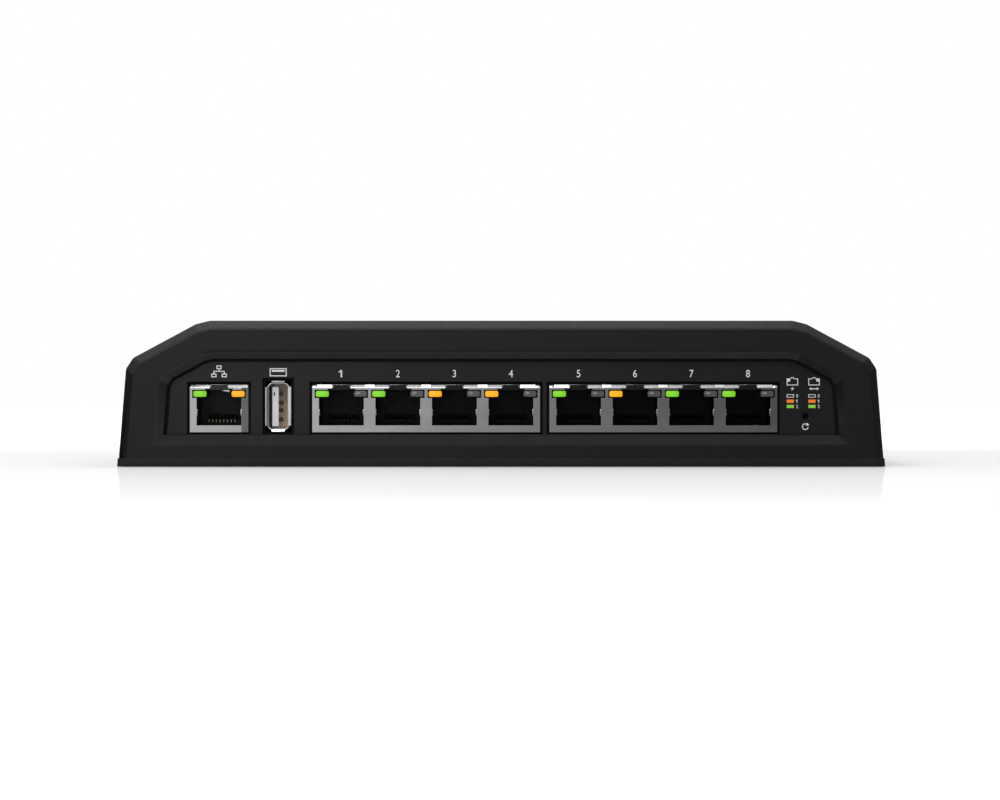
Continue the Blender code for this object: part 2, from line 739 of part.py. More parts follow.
def plug_opening(clearance_top):
    """Right half of a port's stepped opening, measured from the port centre and the shield's bottom."""
    half = OPENING_WIDTH / 2
    shelf = OPENING_SILL + OPENING_HEIGHT
    light_side = half + LED_LEDGE + FIT
    light_top = shelf + LED_HEIGHT + 2 * FIT
    return [(half, OPENING_SILL), (half, shelf), (light_side, shelf), (light_side, light_top)] + clearance_top


def jack(prefix, ports, left, lights):
    """Shielded jack: stamped shield, moulded insert, contact block and light pipes."""
    width = JACK_WIDTH + (ports - 1) * PORT_PITCH
    right = left + width
    centres = [left + JACK_EDGE + i * PORT_PITCH for i in range(ports)]
    light_top = OPENING_SILL + OPENING_HEIGHT + LED_HEIGHT + 2 * FIT

    bm = bmesh.new()
    folded = [
        (JACK_FRONT, JACK_BOTTOM), (JACK_BACK, JACK_BOTTOM), (JACK_BACK, JACK_TOP),
        (JACK_FRONT + SHIELD_FOLD, JACK_TOP), (JACK_FRONT, JACK_TOP - SHIELD_FOLD),
    ]
    add_prism(bm, folded, "X", left, right)
    shield = add_part(f"{prefix}_shield", make_mesh(f"{prefix}_shield", bm), "tinned_sheet")
    bm = bmesh.new()
    add_box(
        bm,
        (left + SHEET, JACK_FRONT + SHEET, JACK_BOTTOM - OVERCUT),
        (right - SHEET, JACK_BACK - SHEET, JACK_TOP - SHEET),
    )
    cut(shield, "inside", bm)
    bm = bmesh.new()
    notch = LATCH_WIDTH / 2
    step = light_top + LATCH_STEP
    inner = OPENING_WIDTH / 2 + LED_LEDGE - LED_WIDTH + FIT
    head = [(inner, light_top), (inner, step), (notch, step), (notch, JACK_HEIGHT + OVERCUT)]
    window = mirrored(plug_opening(head))
    for centre in centres:
        points = [(centre + x, JACK_BOTTOM + z) for x, z in window]
        add_prism(bm, points, "Y", JACK_FRONT - OVERCUT, JACK_FRONT + SHEET + FIT)
    cut(shield, "windows", bm)
    springs = [(c + side * OPENING_WIDTH / 2, side) for c in centres for side in (-1, 1)]
    spring_z = JACK_BOTTOM + OPENING_SILL + OPENING_HEIGHT / 2
    bm = bmesh.new()
    for wall, side in springs:
        add_spring(bm, wall, side, spring_z)
    fuse(shield, "springs", bm)

    inside = SHEET + FIT
    insert_front = JACK_FRONT + inside
    cavity_back = insert_front + CAVITY_DEPTH
    insert_back = cavity_back + INSERT_BACK
    bm = bmesh.new()
    add_box(
        bm,
        (left + inside, insert_front, JACK_BOTTOM),
        (right - inside, insert_back, JACK_TOP - inside),
    )
    insert = add_part(f"{prefix}_insert", make_mesh(f"{prefix}_insert", bm), "jack_plastic")
    bm = bmesh.new()
    cavity = mirrored(plug_opening([]))
    for centre in centres:
        points = [(centre + x, JACK_BOTTOM + z) for x, z in cavity]
        add_prism(bm, points, "Y", insert_front - OVERCUT, cavity_back)
    cut(insert, "cavities", bm)
    bm = bmesh.new()
    comb = (CONTACTS - 1) / 2 * CONTACT_PITCH + CONTACT_WIRE / 2 + FIT
    floor = JACK_BOTTOM + OPENING_SILL
    for centre in centres:
        add_box(
            bm,
            (centre - comb, cavity_back - OVERCUT, floor + CONTACT_HIGH - CONTACT_WIRE - FIT),
            (centre + comb, insert_back + OVERCUT, floor + CONTACT_HIGH + CONTACT_WIRE + FIT),
        )
    for wall, side in springs:
        ends = sorted((wall - side * OVERCUT, wall + side * (SPRING_SHEET + FIT)))
        reach = SPRING_HEIGHT / 2 + FIT
        add_box(
            bm,
            (ends[0], insert_front - OVERCUT, spring_z - reach),
            (ends[1], JACK_FRONT + SHEET + SPRING_LENGTH + FIT, spring_z + reach),
        )
    cut(insert, "comb_slots_and_spring_pockets", bm)
    bm = bmesh.new()
    brow_half = notch - FIT
    brow_back = insert_front - FIT
    brow_edge = SHIELD_FOLD / 2
    brow = [
        (JACK_FRONT, JACK_BOTTOM + light_top), (insert_front + OVERCUT, JACK_BOTTOM + light_top),
        (insert_front + OVERCUT, JACK_TOP - inside), (brow_back, JACK_TOP - inside),
        (brow_back, JACK_TOP), (JACK_FRONT + brow_edge, JACK_TOP), (JACK_FRONT, JACK_TOP - brow_edge),
    ]
    for centre in centres:
        add_prism(bm, brow, "X", centre - brow_half, centre + brow_half)
    fuse(insert, "latch_brows", bm)

    block_front = insert_back + FIT
    bm = bmesh.new()
    add_box(
        bm,
        (left + inside, block_front, JACK_BOTTOM),
        (right - inside, JACK_BACK - inside, JACK_TOP - inside),
    )
    block = add_part(f"{prefix}_contacts", make_mesh(f"{prefix}_contacts", bm), "jack_plastic")
    bm = bmesh.new()
    for centre in centres:
        for i in range(CONTACTS):
            x = centre + (i - (CONTACTS - 1) / 2) * CONTACT_PITCH
            add_contact(bm, x, floor, block_front, cavity_back)
    fuse(block, "wires", bm)

    bm = bmesh.new()
    half = LED_WIDTH / 2
    lens = mirrored([
        (half - LED_CORNER, 0.0), (half, LED_CORNER),
        (half, LED_HEIGHT - LED_CORNER), (half - LED_CORNER, LED_HEIGHT),
    ])
    add_prism(bm, lens, "Y", 0.0, LED_DEPTH)
    pipe = make_mesh(f"{prefix}_light_pipe", bm)
    offset = OPENING_WIDTH / 2 + LED_LEDGE - LED_WIDTH / 2
    bottom = JACK_BOTTOM + OPENING_SILL + OPENING_HEIGHT + FIT
    for (name, side, colour), centre in zip(lights, [c for c in centres for _ in range(2)]):
        spot = (centre + side * offset, JACK_FRONT, bottom)
        add_part(name, pipe.copy(), f"light_pipe_{colour}", spot)


def add_spring(bm, wall, side, z):
    """Grounding spring: a strip folded back from the window's edge and bowed into the opening."""
    near = JACK_FRONT + SHEET / 2
    far = JACK_FRONT + SHEET + SPRING_LENGTH
    crest = (near + far) / 2
    root = SPRING_SHEET / 2
    strip = [
        (wall + side * root, near),
        (wall - side * SPRING_BULGE, crest),
        (wall, far),
        (wall + side * SPRING_SHEET, far),
        (wall + side * (SPRING_SHEET - SPRING_BULGE), crest),
        (wall + side * (root + SPRING_SHEET), near),
    ]
    add_prism(bm, strip, "Z", z - SPRING_HEIGHT / 2, z + SPRING_HEIGHT / 2)


def add_contact(bm, x, floor, block_front, cavity_back):
    """Spring wire: level through the comb slot, then falling to the front of the cavity."""
    half = CONTACT_WIRE / 2
    high = floor + CONTACT_HIGH
    low = floor + CONTACT_LOW
    bend = cavity_back - FIT
    tip = cavity_back - CONTACT_LENGTH
    side = [
        (block_front + OVERCUT / 2, high - half), (block_front + OVERCUT / 2, high + half),
        (bend, high + half), (tip, low + half), (tip, low - half), (bend, high - half),
    ]
    add_prism(bm, side, "X", x - half, x + half)


def port_lights(first):
    """Names, sides and colours of one bank's light pipes, port by port."""
    lights = []
    for i in range(PORTS_PER_BANK):
        number = first + i
        lights.append((f"port_{number}_light_left", -1, PORT_LIGHTS[(number - 1) % len(PORT_LIGHTS)]))
        lights.append((f"port_{number}_light_right", 1, "clear"))
    return lights


def usb_socket():
    """Upright USB socket: flared metal shell and moulded tongue with its contacts."""
    back = JACK_FRONT + USB_DEPTH
    top = USB_BOTTOM + USB_HEIGHT

    def frame(grow, y):
        half = USB_THICKNESS / 2 + grow
        low = USB_BOTTOM - grow
        high = top + grow
        corner = USB_CORNER + grow * (2 - math.sqrt(2))
        right = [(half - corner, low), (half, low + corner), (half, high - corner), (half - corner, high)]
        return [(USB_X + x, y, z) for x, z in mirrored(right)]

    bm = bmesh.new()
    add_loft(bm, [frame(USB_LIP, JACK_FRONT), frame(0.0, JACK_FRONT + USB_LIP_DEPTH), frame(0.0, back)])
    shell = add_part("usb_shell", make_mesh("usb_shell", bm), "tinned_sheet")
    bm = bmesh.new()
    add_loft(bm, [
        frame(USB_LIP - USB_SHEET, JACK_FRONT - OVERCUT),
        frame(USB_LIP - USB_SHEET, JACK_FRONT),
        frame(-USB_SHEET, JACK_FRONT + USB_LIP_DEPTH),
        frame(-USB_SHEET, back - USB_SHEET),
    ])
    cut(shell, "inside", bm)
    bm = bmesh.new()
    reach = USB_LIP + OVERCUT
    for side in (-1, 1):
        across = sorted(USB_X + side * (USB_THICKNESS / 2 + grow) for grow in (-USB_NOTCH, reach))
        for low, high in ((USB_BOTTOM - reach, USB_BOTTOM + USB_NOTCH), (top - USB_NOTCH, top + reach)):
            add_box(
                bm,
                (across[0], JACK_FRONT - OVERCUT, low),
                (across[1], JACK_FRONT + USB_LIP_DEPTH, high),
            )
    cut(shell, "lip_notches", bm)

    bm = bmesh.new()
    inside = USB_SHEET + FIT
    left = USB_X - USB_THICKNESS / 2 + inside
    right = USB_X + USB_THICKNESS / 2 - inside
    block_back = back - inside
    block_front = block_back - USB_BACK
    add_box(bm, (left, block_front, USB_BOTTOM + inside), (right, block_back, top - inside))
    tongue = add_part("usb_tongue", make_mesh("usb_tongue", bm), "usb_plastic")
    bm = bmesh.new()
    tongue_left = left + USB_TONGUE_SIDE_GAP
    tongue_right = tongue_left + USB_TONGUE
    tongue_front = block_front - USB_TONGUE_LENGTH
    add_box(
        bm,
        (tongue_left, tongue_front, USB_BOTTOM + 2 * inside),
        (tongue_right, block_front + OVERCUT, top - 2 * inside),
    )
    fuse(tongue, "tongue", bm)
    bm = bmesh.new()
    middle = USB_BOTTOM + USB_HEIGHT / 2
    for rise in (-USB_CONTACT_OUTER, -USB_CONTACT_INNER, USB_CONTACT_INNER, USB_CONTACT_OUTER):
        z = middle + rise
        add_box(
            bm,
            (tongue_right - OVERCUT / 2, tongue_front + OVERCUT, z - USB_CONTACT_WIDTH / 2),
            (tongue_right + USB_SHEET, block_front + OVERCUT / 2, z + USB_CONTACT_WIDTH / 2),
        )
    fuse(tongue, "contacts", bm)


def reset_switch():
    """Side-pressed switch on the main board with its button behind the pinhole."""
    button_front = PANEL_BACK + RESET_BUTTON_GAP
    body_front = button_front + RESET_BUTTON_LENGTH / 2
    radius = RESET_BUTTON_DIAMETER / 2
    half = RESET_BODY_WIDTH / 2
    seat = BOARD_TOP + FIT
    bm = bmesh.new()
    add_box(
        bm,
        (RESET_X - half, body_front, seat),
        (RESET_X + half, body_front + RESET_BODY_DEPTH, seat + RESET_BODY_HEIGHT),
    )
    body = add_part("reset_switch", make_mesh("reset_switch", bm), "chip_epoxy")
    bm = bmesh.new()
    bore_end = button_front + RESET_BUTTON_LENGTH + RESET_TRAVEL + FIT
    add_rod(bm, "Y", (RESET_X, RESET_Z), radius + FIT, body_front - OVERCUT, bore_end)
    cut(body, "bore", bm)

    edge = radius / 4
    end = -RESET_BUTTON_LENGTH
    button = turned_mesh("reset_button", [
        (0.0, 0.0), (radius - edge, 0.0), (radius, -edge), (radius, end), (0.0, end),
    ])
    spot = (RESET_X, button_front, RESET_Z)
    facing = (math.pi / 2, 0.0, 0.0)
    add_turned("reset_button", button, "button_plastic", spot, facing, steps=20)


def boards():
    """Main board and power board, with holes for the case screws."""
    bm = bmesh.new()
    add_box(bm, (-BOARD_HALF, MAIN_FRONT, BOARD_BOTTOM), (BOARD_HALF, MAIN_BACK, BOARD_TOP))
    main_board = add_part("main_board", make_mesh("main_board", bm), "circuit_board")
    bm = bmesh.new()
    add_box(bm, (-BOARD_HALF, POWER_FRONT, BOARD_BOTTOM), (BOARD_HALF, POWER_BACK, BOARD_TOP))
    power_board = add_part("power_board", make_mesh("power_board", bm), "circuit_board")
    for board, y in ((main_board, FRONT_BOSS_Y), (power_board, REAR_BOSS_Y)):
        bm = bmesh.new()
        for x in (-BOSS_X, BOSS_X):
            add_rod(
                bm, "Z", (x, y), SCREW_DIAMETER / 2 + FIT, BOARD_BOTTOM - OVERCUT, BOARD_TOP + OVERCUT, 16)
        cut(board, "screw_holes", bm)


def chips():
    """Switch chip under a finned heatsink, and the processor."""
    chip_bottom = BOARD_TOP + FIT
    chip_y = JACK_BACK + CHIP_FROM_JACKS
    for name, x, size, height in (
        ("switch_chip", CHIP_X, CHIP_SIZE, CHIP_HEIGHT),
        ("processor_chip", PROCESSOR_X, PROCESSOR_SIZE, PROCESSOR_HEIGHT),
    ):
        bm = bmesh.new()
        reach = size / 2
        add_box(
            bm,
            (x - reach, chip_y - reach, chip_bottom),
            (x + reach, chip_y + reach, chip_bottom + height),
        )
        add_part(name, make_mesh(name, bm), "chip_epoxy")

    bottom = chip_bottom + CHIP_HEIGHT + FIT
    half = HEATSINK_SIZE / 2
    pitch = (HEATSINK_SIZE - FIN_THICKNESS) / (HEATSINK_FINS - 1)
    comb = [(CHIP_X + half, bottom), (CHIP_X - half, bottom)]
    for i in range(HEATSINK_FINS):
        x = CHIP_X - half + i * pitch
        root = bottom + HEATSINK_BASE
        tip = bottom + HEATSINK_HEIGHT
        comb += [(x, root), (x, tip), (x + FIN_THICKNESS, tip), (x + FIN_THICKNESS, root)]
    comb.pop(2)
    comb.pop(-1)
    bm = bmesh.new()
    add_prism(bm, comb, "Y", chip_y - half, chip_y + half)
    add_part("chip_heatsink", make_mesh("chip_heatsink", bm), "black_anodised")


def power_supply():
    """Transformer, capacitors, heatsink and choke that stand on the power board."""
    seat = BOARD_TOP + FIT
    y = POWER_FRONT + CORE_FROM_FRONT
    half = CORE_WIDTH / 2
    bm = bmesh.new()
    add_box(
        bm,
        (CORE_X - half, y - CORE_DEPTH / 2, seat),
        (CORE_X + half, y + CORE_DEPTH / 2, seat + CORE_HEIGHT),
    )
    core = add_part("transformer_core", make_mesh("transformer_core", bm), "ferrite")
    limb = CORE_LIMB / 2
    bm = bmesh.new()
    for side in (-1, 1):
        ends = sorted((side * limb, side * (half - CORE_LIMB)))
        add_box(
            bm,
            (CORE_X + ends[0], y - CORE_DEPTH, seat + CORE_LIMB),
            (CORE_X + ends[1], y + CORE_DEPTH, seat + CORE_HEIGHT - CORE_LIMB),
        )
    cut(core, "windows", bm)
    winding_low = seat + CORE_LIMB + FIT
    winding_high = seat + CORE_HEIGHT - CORE_LIMB - FIT
    bm = bmesh.new()
    add_rod(bm, "Z", (CORE_X, y), half - CORE_LIMB - FIT, winding_low, winding_high, 28)
    winding = add_part("transformer_winding", make_mesh("transformer_winding", bm), "copper_winding")
    bm = bmesh.new()
    add_box(
        bm,
        (CORE_X - limb - FIT, y - CORE_DEPTH / 2 - FIT, winding_low - OVERCUT),
        (CORE_X + limb + FIT, y + CORE_DEPTH / 2 + FIT, winding_high + OVERCUT),
    )
    cut(winding, "bore", bm)

    for name, x, from_front, diameter, length in (
        ("bulk_capacitor", BULK_X, BULK_FROM_FRONT, BULK_DIAMETER, BULK_LENGTH),
        ("output_capacitor", OUTPUT_X, BULK_FROM_FRONT, OUTPUT_DIAMETER, OUTPUT_LENGTH),
    ):
        radius = diameter / 2
        groove = radius / 10
        can = turned_mesh(name, [
            (0.0, length), (radius - groove, length), (radius, length - groove), (radius, 4 * groove),
            (radius - groove, 3 * groove), (radius, 2 * groove), (radius, 0.0), (0.0, 0.0),
        ])
        add_turned(name, can, "capacitor_sleeve", (x, POWER_FRONT + from_front, seat))

    near = POWER_FRONT + SINK_FROM_FRONT
    bend = [
        (SINK_X, seat), (SINK_X + SINK_PLATE, seat), (SINK_X + SINK_PLATE, seat + SINK_HEIGHT - SINK_PLATE),
        (SINK_X + SINK_FLANGE, seat + SINK_HEIGHT - SINK_PLATE), (SINK_X + SINK_FLANGE, seat + SINK_HEIGHT),
        (SINK_X, seat + SINK_HEIGHT),
    ]
    bm = bmesh.new()
    add_prism(bm, bend, "Y", near, near + SINK_LENGTH)
    add_part("power_heatsink", make_mesh("power_heatsink", bm), "black_anodised")

    bpy.ops.mesh.primitive_torus_add(
        major_radius=CHOKE_RING, minor_radius=CHOKE_TUBE, major_segments=20, minor_segments=8)
    ring = bpy.context.object
    mesh = ring.data
    bpy.data.objects.remove(ring)
    mesh.shade_smooth()
    add_part(
        "line_choke", mesh, "copper_winding", (CHOKE_X, POWER_FRONT + CHOKE_FROM_FRONT, seat + CHOKE_TUBE))


def mains_inlet():
    """Inlet body with its three pins, standing on the power board behind the rear panel."""
    bottom = JACK_BOTTOM
    half = INLET_WIDTH / 2
    bm = bmesh.new()
    add_box(bm, (INLET_X - half, INLET_IN, bottom), (INLET_X + half, INLET_OUT, bottom + INLET_HEIGHT))
    body = add_part("mains_inlet", make_mesh("mains_inlet", bm), "jack_plastic")
    middle = bottom + INLET_HEIGHT / 2
    reach = SOCKET_WIDTH / 2
    low = -SOCKET_HEIGHT / 2
    high = SOCKET_HEIGHT / 2
    socket = mirrored([(reach, low), (reach, high - SOCKET_CORNER), (reach - SOCKET_CORNER, high)])
    points = [(INLET_X + x, middle + z) for x, z in socket]
    floor = INLET_OUT - SOCKET_DEPTH
    bm = bmesh.new()
    add_prism(bm, points, "Y", floor, INLET_OUT + OVERCUT)
    cut(body, "socket", bm)

    spots = {
        "line": (INLET_X - PIN_SPACING, middle - PIN_OFFSET),
        "neutral": (INLET_X + PIN_SPACING, middle - PIN_OFFSET),
        "earth": (INLET_X, middle + PIN_OFFSET),
    }
    bm = bmesh.new()
    for x, z in spots.values():
        add_box(
            bm,
            (x - PIN_WIDTH / 2 - FIT, INLET_IN - OVERCUT, z - PIN_HEIGHT / 2 - FIT),
            (x + PIN_WIDTH / 2 + FIT, floor + OVERCUT, z + PIN_HEIGHT / 2 + FIT),
        )
    cut(body, "pin_slots", bm)
    tip = INLET_OUT - PIN_RECESS
    leg_front = INLET_IN - PIN_TAIL
    leg_back = leg_front + PIN_WIDTH
    taper = PIN_WIDTH / 2
    for name, (x, z) in spots.items():
        low = z - PIN_HEIGHT / 2
        high = z + PIN_HEIGHT / 2
        side = [
            (leg_front, BOARD_TOP + FIT), (leg_back, BOARD_TOP + FIT), (leg_back, low), (tip - taper, low),
            (tip, low + taper), (tip, high - taper), (tip - taper, high), (leg_front, high),
        ]
        bm = bmesh.new()
        add_prism(bm, side, "X", x - PIN_WIDTH / 2, x + PIN_WIDTH / 2)
        add_part(f"inlet_pin_{name}", make_mesh(f"inlet_pin_{name}", bm), "tinned_sheet")


def dc_harness():
    """Cable with a header at each end, looped from the power board to the main board."""
    seat = BOARD_TOP + FIT
    headers = (MAIN_BACK - HEADER_FROM_EDGE - HEADER_DEPTH, POWER_FRONT + HEADER_FROM_EDGE)
    bm = bmesh.new()
    for y in headers:
        add_box(
            bm,
            (HARNESS_X - HEADER_WIDTH / 2, y, seat),
            (HARNESS_X + HEADER_WIDTH / 2, y + HEADER_DEPTH, seat + HEADER_HEIGHT),
        )
    near = headers[0] + HEADER_DEPTH / 2
    far = headers[1] + HEADER_DEPTH / 2
    curve = bpy.data.curves.new("dc_cable", "CURVE")
    curve.dimensions = "3D"
    curve.bevel_depth = HARNESS_DIAMETER / 2
    curve.bevel_resolution = 2
    curve.use_fill_caps = True
    spline = curve.splines.new("POLY")
    spline.points.add(HARNESS_POINTS - 1)
    for i, point in enumerate(spline.points):
        angle = math.pi * i / (HARNESS_POINTS - 1)
        y = (near + far) / 2 - (far - near) / 2 * math.cos(angle)
        z = seat + HEADER_HEIGHT - OVERCUT + HARNESS_RISE * math.sin(angle)
        point.co = (HARNESS_X, y, z, 1.0)
    cable = bpy.data.objects.new("dc_cable", curve)
    CUTTERS.objects.link(cable)
    evaluated = cable.evaluated_get(bpy.context.evaluated_depsgraph_get())
    mesh = bpy.data.meshes.new_from_object(evaluated)
    mesh.materials.clear()
    bpy.data.objects.remove(cable)
    tube = bmesh.new()
    tube.from_mesh(mesh)
    bmesh.ops.remove_doubles(tube, verts=tube.verts, dist=0.00001)
    harness = add_part("dc_harness", make_mesh("dc_harness", tube), "cable_sheath")
    fuse(harness, "headers", bm)


def build():
    """Make every sub-part, from the case inwards."""
    hood()
    base_tray()
    feet_and_screws()
    port_panel()
    rear_panel()
    boards()
    jack("management_jack", 1, MANAGEMENT_LEFT, [
        ("management_light_left", -1, "green"), ("management_light_right", 1, "amber"),
    ])
    jack("bank_a", PORTS_PER_BANK, BANK_A_LEFT, port_lights(1))
    jack("bank_b", PORTS_PER_BANK, BANK_B_LEFT, port_lights(1 + PORTS_PER_BANK))
    usb_socket()
    reset_switch()
    chips()
    power_supply()
    mains_inlet()
    dc_harness()


build()
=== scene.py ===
"""Looks of a compact desktop network switch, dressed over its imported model.

The file is laid out as an add-on and run as a script: each operator finishes one group of pieces, and main()
calls them in order. Lengths are in metres, +Z is up and the ports face -Y.
"""

import math
from functools import cache

import bmesh
import bpy
from bpy.props import FloatProperty, FloatVectorProperty, PointerProperty
from mathutils import Matrix, Vector


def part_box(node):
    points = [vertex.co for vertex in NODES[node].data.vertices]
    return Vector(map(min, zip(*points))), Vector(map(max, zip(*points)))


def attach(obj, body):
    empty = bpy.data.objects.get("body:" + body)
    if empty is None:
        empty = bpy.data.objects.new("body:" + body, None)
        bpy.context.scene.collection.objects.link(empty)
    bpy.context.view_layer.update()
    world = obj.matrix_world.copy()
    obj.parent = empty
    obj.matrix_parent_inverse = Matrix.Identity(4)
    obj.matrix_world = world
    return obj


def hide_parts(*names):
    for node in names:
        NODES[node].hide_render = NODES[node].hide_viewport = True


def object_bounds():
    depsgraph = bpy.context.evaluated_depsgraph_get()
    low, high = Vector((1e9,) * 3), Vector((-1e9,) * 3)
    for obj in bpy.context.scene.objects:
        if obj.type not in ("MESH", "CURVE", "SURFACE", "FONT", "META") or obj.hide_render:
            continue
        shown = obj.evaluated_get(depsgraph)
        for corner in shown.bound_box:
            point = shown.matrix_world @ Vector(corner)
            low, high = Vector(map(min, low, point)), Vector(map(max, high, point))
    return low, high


bl_info = {
    "name": "Desktop network switch",
    "version": (1, 0, 0),
    "blender": (4, 5, 0),
    "location": "View3D > Sidebar > Switch",
    "description": "Finishes the packed model of a compact desktop network switch",
    "category": "Object",
}

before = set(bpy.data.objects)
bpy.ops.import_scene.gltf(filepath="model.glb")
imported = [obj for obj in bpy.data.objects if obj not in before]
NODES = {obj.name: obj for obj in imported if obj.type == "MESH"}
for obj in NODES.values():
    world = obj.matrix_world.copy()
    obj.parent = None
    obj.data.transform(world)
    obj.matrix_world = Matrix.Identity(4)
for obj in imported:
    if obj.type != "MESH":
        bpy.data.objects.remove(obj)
CAD_LOW, CAD_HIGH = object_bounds()

# Places taken from the frame
HOOD_LOW, HOOD_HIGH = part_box("top_shell")
FRONT, REAR = HOOD_LOW.y, HOOD_HIGH.y
HOOD_BOTTOM = HOOD_LOW.z
PANEL_FACE, PANEL_BACK = (corner.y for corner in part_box("port_panel"))
JACK_BOTTOM, JACK_TOP = (corner.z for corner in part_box("bank_a_shield"))
PIPE_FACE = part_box("management_light_left")[0].y

# Names of the nodes, and the colour of each port's left light
SIDES = ("left", "right")
CORNERS = [f"{end}_{side}" for end in ("front", "rear") for side in SIDES]
BANKS = {
    "management_jack": ["management_light"],
    "bank_a": [f"port_{i}_light" for i in range(1, 5)],
    "bank_b": [f"port_{i}_light" for i in range(5, 9)],
}
PORT_COLOURS = ("green", "green", "amber", "amber", "green", "amber", "green", "green")
LIT = {f"port_{i}_light_left": colour for i, colour in enumerate(PORT_COLOURS, 1)}
LIT.update(management_light_left="green", management_light_right="amber")

# Merging of copied facets, and the shortest edges that are eased
WELD = 0.000002
FLAT_ANGLE = math.radians(0.3)
SMOOTH_ANGLE = math.radians(50)
GAP = 0.0003
HOOD_SHORT = 0.0015
PANEL_SHORT = 0.0004
FOLD_SHORT = 0.0008
SHEET_SHORT = 0.0002
INLET_SHORT = 0.001

# Angles in degrees past which an edge counts as crisp
CRISP = 20.0
HOOD_CRISP = 10.0
FOLD_CRISP = 30.0
STAMP_CRISP = 60.0

# Hood: how deep its outside edges lie at the ends, and which way its sloped faces look, which sets their
# painted light and shade
HOOD_SKIN = 0.0028
HOOD_RUN = 0.028
WINDOW_EDGE = FRONT + 0.0022
SLOPE_LEAST, SLOPE_MOST = 0.2, 0.95
SLOPE_ASIDE = 0.3
CORNER_ASIDE = 0.2
SILL_RAISE = 0.00045
FRAME_RAISE = 0.0004
PARTING = 0.00003

# Painted shadow strip round the window, seals round the sockets, cut-outs, and the rim under the tray
SHADOW_STRIP_WIDTH = 0.00065
SHADOW_STRIP_PROUD = 0.0003
CUTOUT_GAP = 0.0007
CUTOUT_RAISE = 0.00032
GASKET_SUNK = 0.0006
RIM_WIDTH = 0.0012
RIM_CLEAR = 0.00004

# Spring contacts in the jacks
CONTACTS = 8
CONTACT_PITCH = 0.00102
CONTACT_WIRE = 0.00036
CONTACT_LENGTH = 0.0052
CONTACT_LOW = 0.0005
CONTACT_LEG = 0.0011
CONTACT_HIGH = 0.0024
CONTACT_ROUND = 0.6
WIRE_STEPS = 8
FLOOR_RISE = 0.00185
COMB_WALL = 0.0012
COMB_TOOTH = 0.00044

# Bend, folded edge and relief cuts at a shield's top
SHEET_FOLD = 0.00055
HEM_DROP = 0.0005
HEM_RISE = 0.00028
HEM_STEEP = 0.00038
HEM_LEAN = 0.00053
HEM_BACK = 0.0014
HEM_THIN = 0.00012
HEM_CUT = 0.00135
HEM_END = 0.0012
HEM_SLIT = 0.00004
NOTCH_HALF = 0.00245

# Bends at the roots of the grounding springs, the management jack's turned wall and its latch finger
OPENING_HALF = 0.00605
BEND_LEVEL = 0.0053
BEND_HEIGHT = 0.0019
BEND_PROUD = 0.00032
BEND_ROUND = 0.7
WALL_TURN = 0.0008
TURN_DEPTH = 0.004
FINGER_DEPTH = 0.0016
FINGER_LENGTH = 0.0024
FINGER_OVER = 0.0001
FINGER_RISE = 0.0005

# Light pipes: how far back they glow, the glow's shares, the body's painted shade behind the front, and the
# grey and blue across a clear one
LENS_FRONT = 0.0003
LENS_CORE = 1.10
LENS_CORE_LIFT = 0.03
LENS_RIM = 0.62
LENS_BODY = 0.13
LENS_SIDE_SHADE = 0.9
LENS_STOPS = (0.05, 0.42, 0.86)
LENS_FLAT = (1.0, 0.8, 0.0)
LIT_SPOT = (-0.36, -0.5, 0.0)
CLEAR_SPOT = (-0.30, -0.5, 0.0)
CLEAR_CUP = (
    (0.0, 0.26, 0.27), (0.12, 0.17, 0.175), (0.24, 0.062, 0.064), (0.5, 0.075, 0.077), (1.0, 0.055, 0.057))

# Shares of the mask's colour on darker traces and between them
TRACE_DARK = 0.82
TRACE_EDGE = 1.9

# USB socket
USB_BACK = 0.0068
USB_LIP_DEPTH = 0.0012
USB_LIP_FLAT = 0.00078
USB_TONGUE_GAP = 0.0005
USB_TONGUE = 0.0018
USB_CONTACTS = (-0.0035, -0.001, 0.001, 0.0035)
USB_CONTACT_HALF = 0.0005
USB_ROOT_HALF = 0.00055
USB_KEY_RISE = 0.0034
USB_KEY_LEFT = 0.00036
USB_KEY_WIDTH = 0.00045
USB_KEY_HEIGHT = 0.00115

# Feet, as shares of the radius and the height from the middle of the top round to the middle of the sole
FOOT_STEPS = 56
FOOT_PROFILE = (
    (0.0, 1.0), (1.0, 1.0), (1.0, 0.45), (0.985, 0.22), (0.95, 0.07), (0.90, 0.0), (0.66, 0.0), (0.62, 0.06),
    (0.58, 0.20), (0.0, 0.26))

# Case screws: the crown as shares of the head's radius with heights, the thread and the cross recess
SCREW_STEPS = 32
SCREW_RIM = 0.62
SCREW_CROWN = ((SCREW_RIM, 0.0), (0.86, 0.0003), (0.96, 0.0008), (1.0, 0.0014))
SCREW_HEAD = 0.002
SCREW_CREST = 0.0015
SCREW_CORE = 0.00118
SCREW_PITCH = 0.0011
SCREW_RECESS = 0.0011
CROSS_REACH = 0.82
CROSS_HALF = 0.24
CROSS_TAPER = 0.55

# Printed signs, from the jacks and the reset button
NUMBER_WEIGHT = 0.003
NUMBER_NARROW = 0.86
BOX_WIDTH = 0.0014
BOX_HEIGHT = 0.0010
NETWORK_HEIGHT = 0.0032
NETWORK_REACH = 0.0014
SOCKET_WIDTH = 0.0046
SOCKET_HEIGHT = 0.0022
SOCKET_BAR = 0.00121
RESET_SIGN_DROP = 0.0029
RESET_SIGN_RADIUS = 0.00078
RESET_START = math.radians(60)
RESET_SWEEP = math.radians(290)
ARC_STEPS = 18
KEY_COLUMNS = (-0.0050, 0.00084)
KEY_JACK_RISE = 0.0001
KEY_JACK_WIDTH = 0.00306
KEY_JACK_HEIGHT = 0.00217
KEY_JACK_STEP = 0.0003
KEY_JACK_LATCH = 0.00042
KEY_JACK_LAMP = 0.00085
KEY_SIGN_DROP = 0.00092
KEY_CHIP_DROP = 0.00318
KEY_CHIP_PITCH = 0.00142
KEY_CHIP_WIDTH = 0.00192
KEY_CHIP_HEIGHT = 0.00087
KEY_NARROW = 0.9

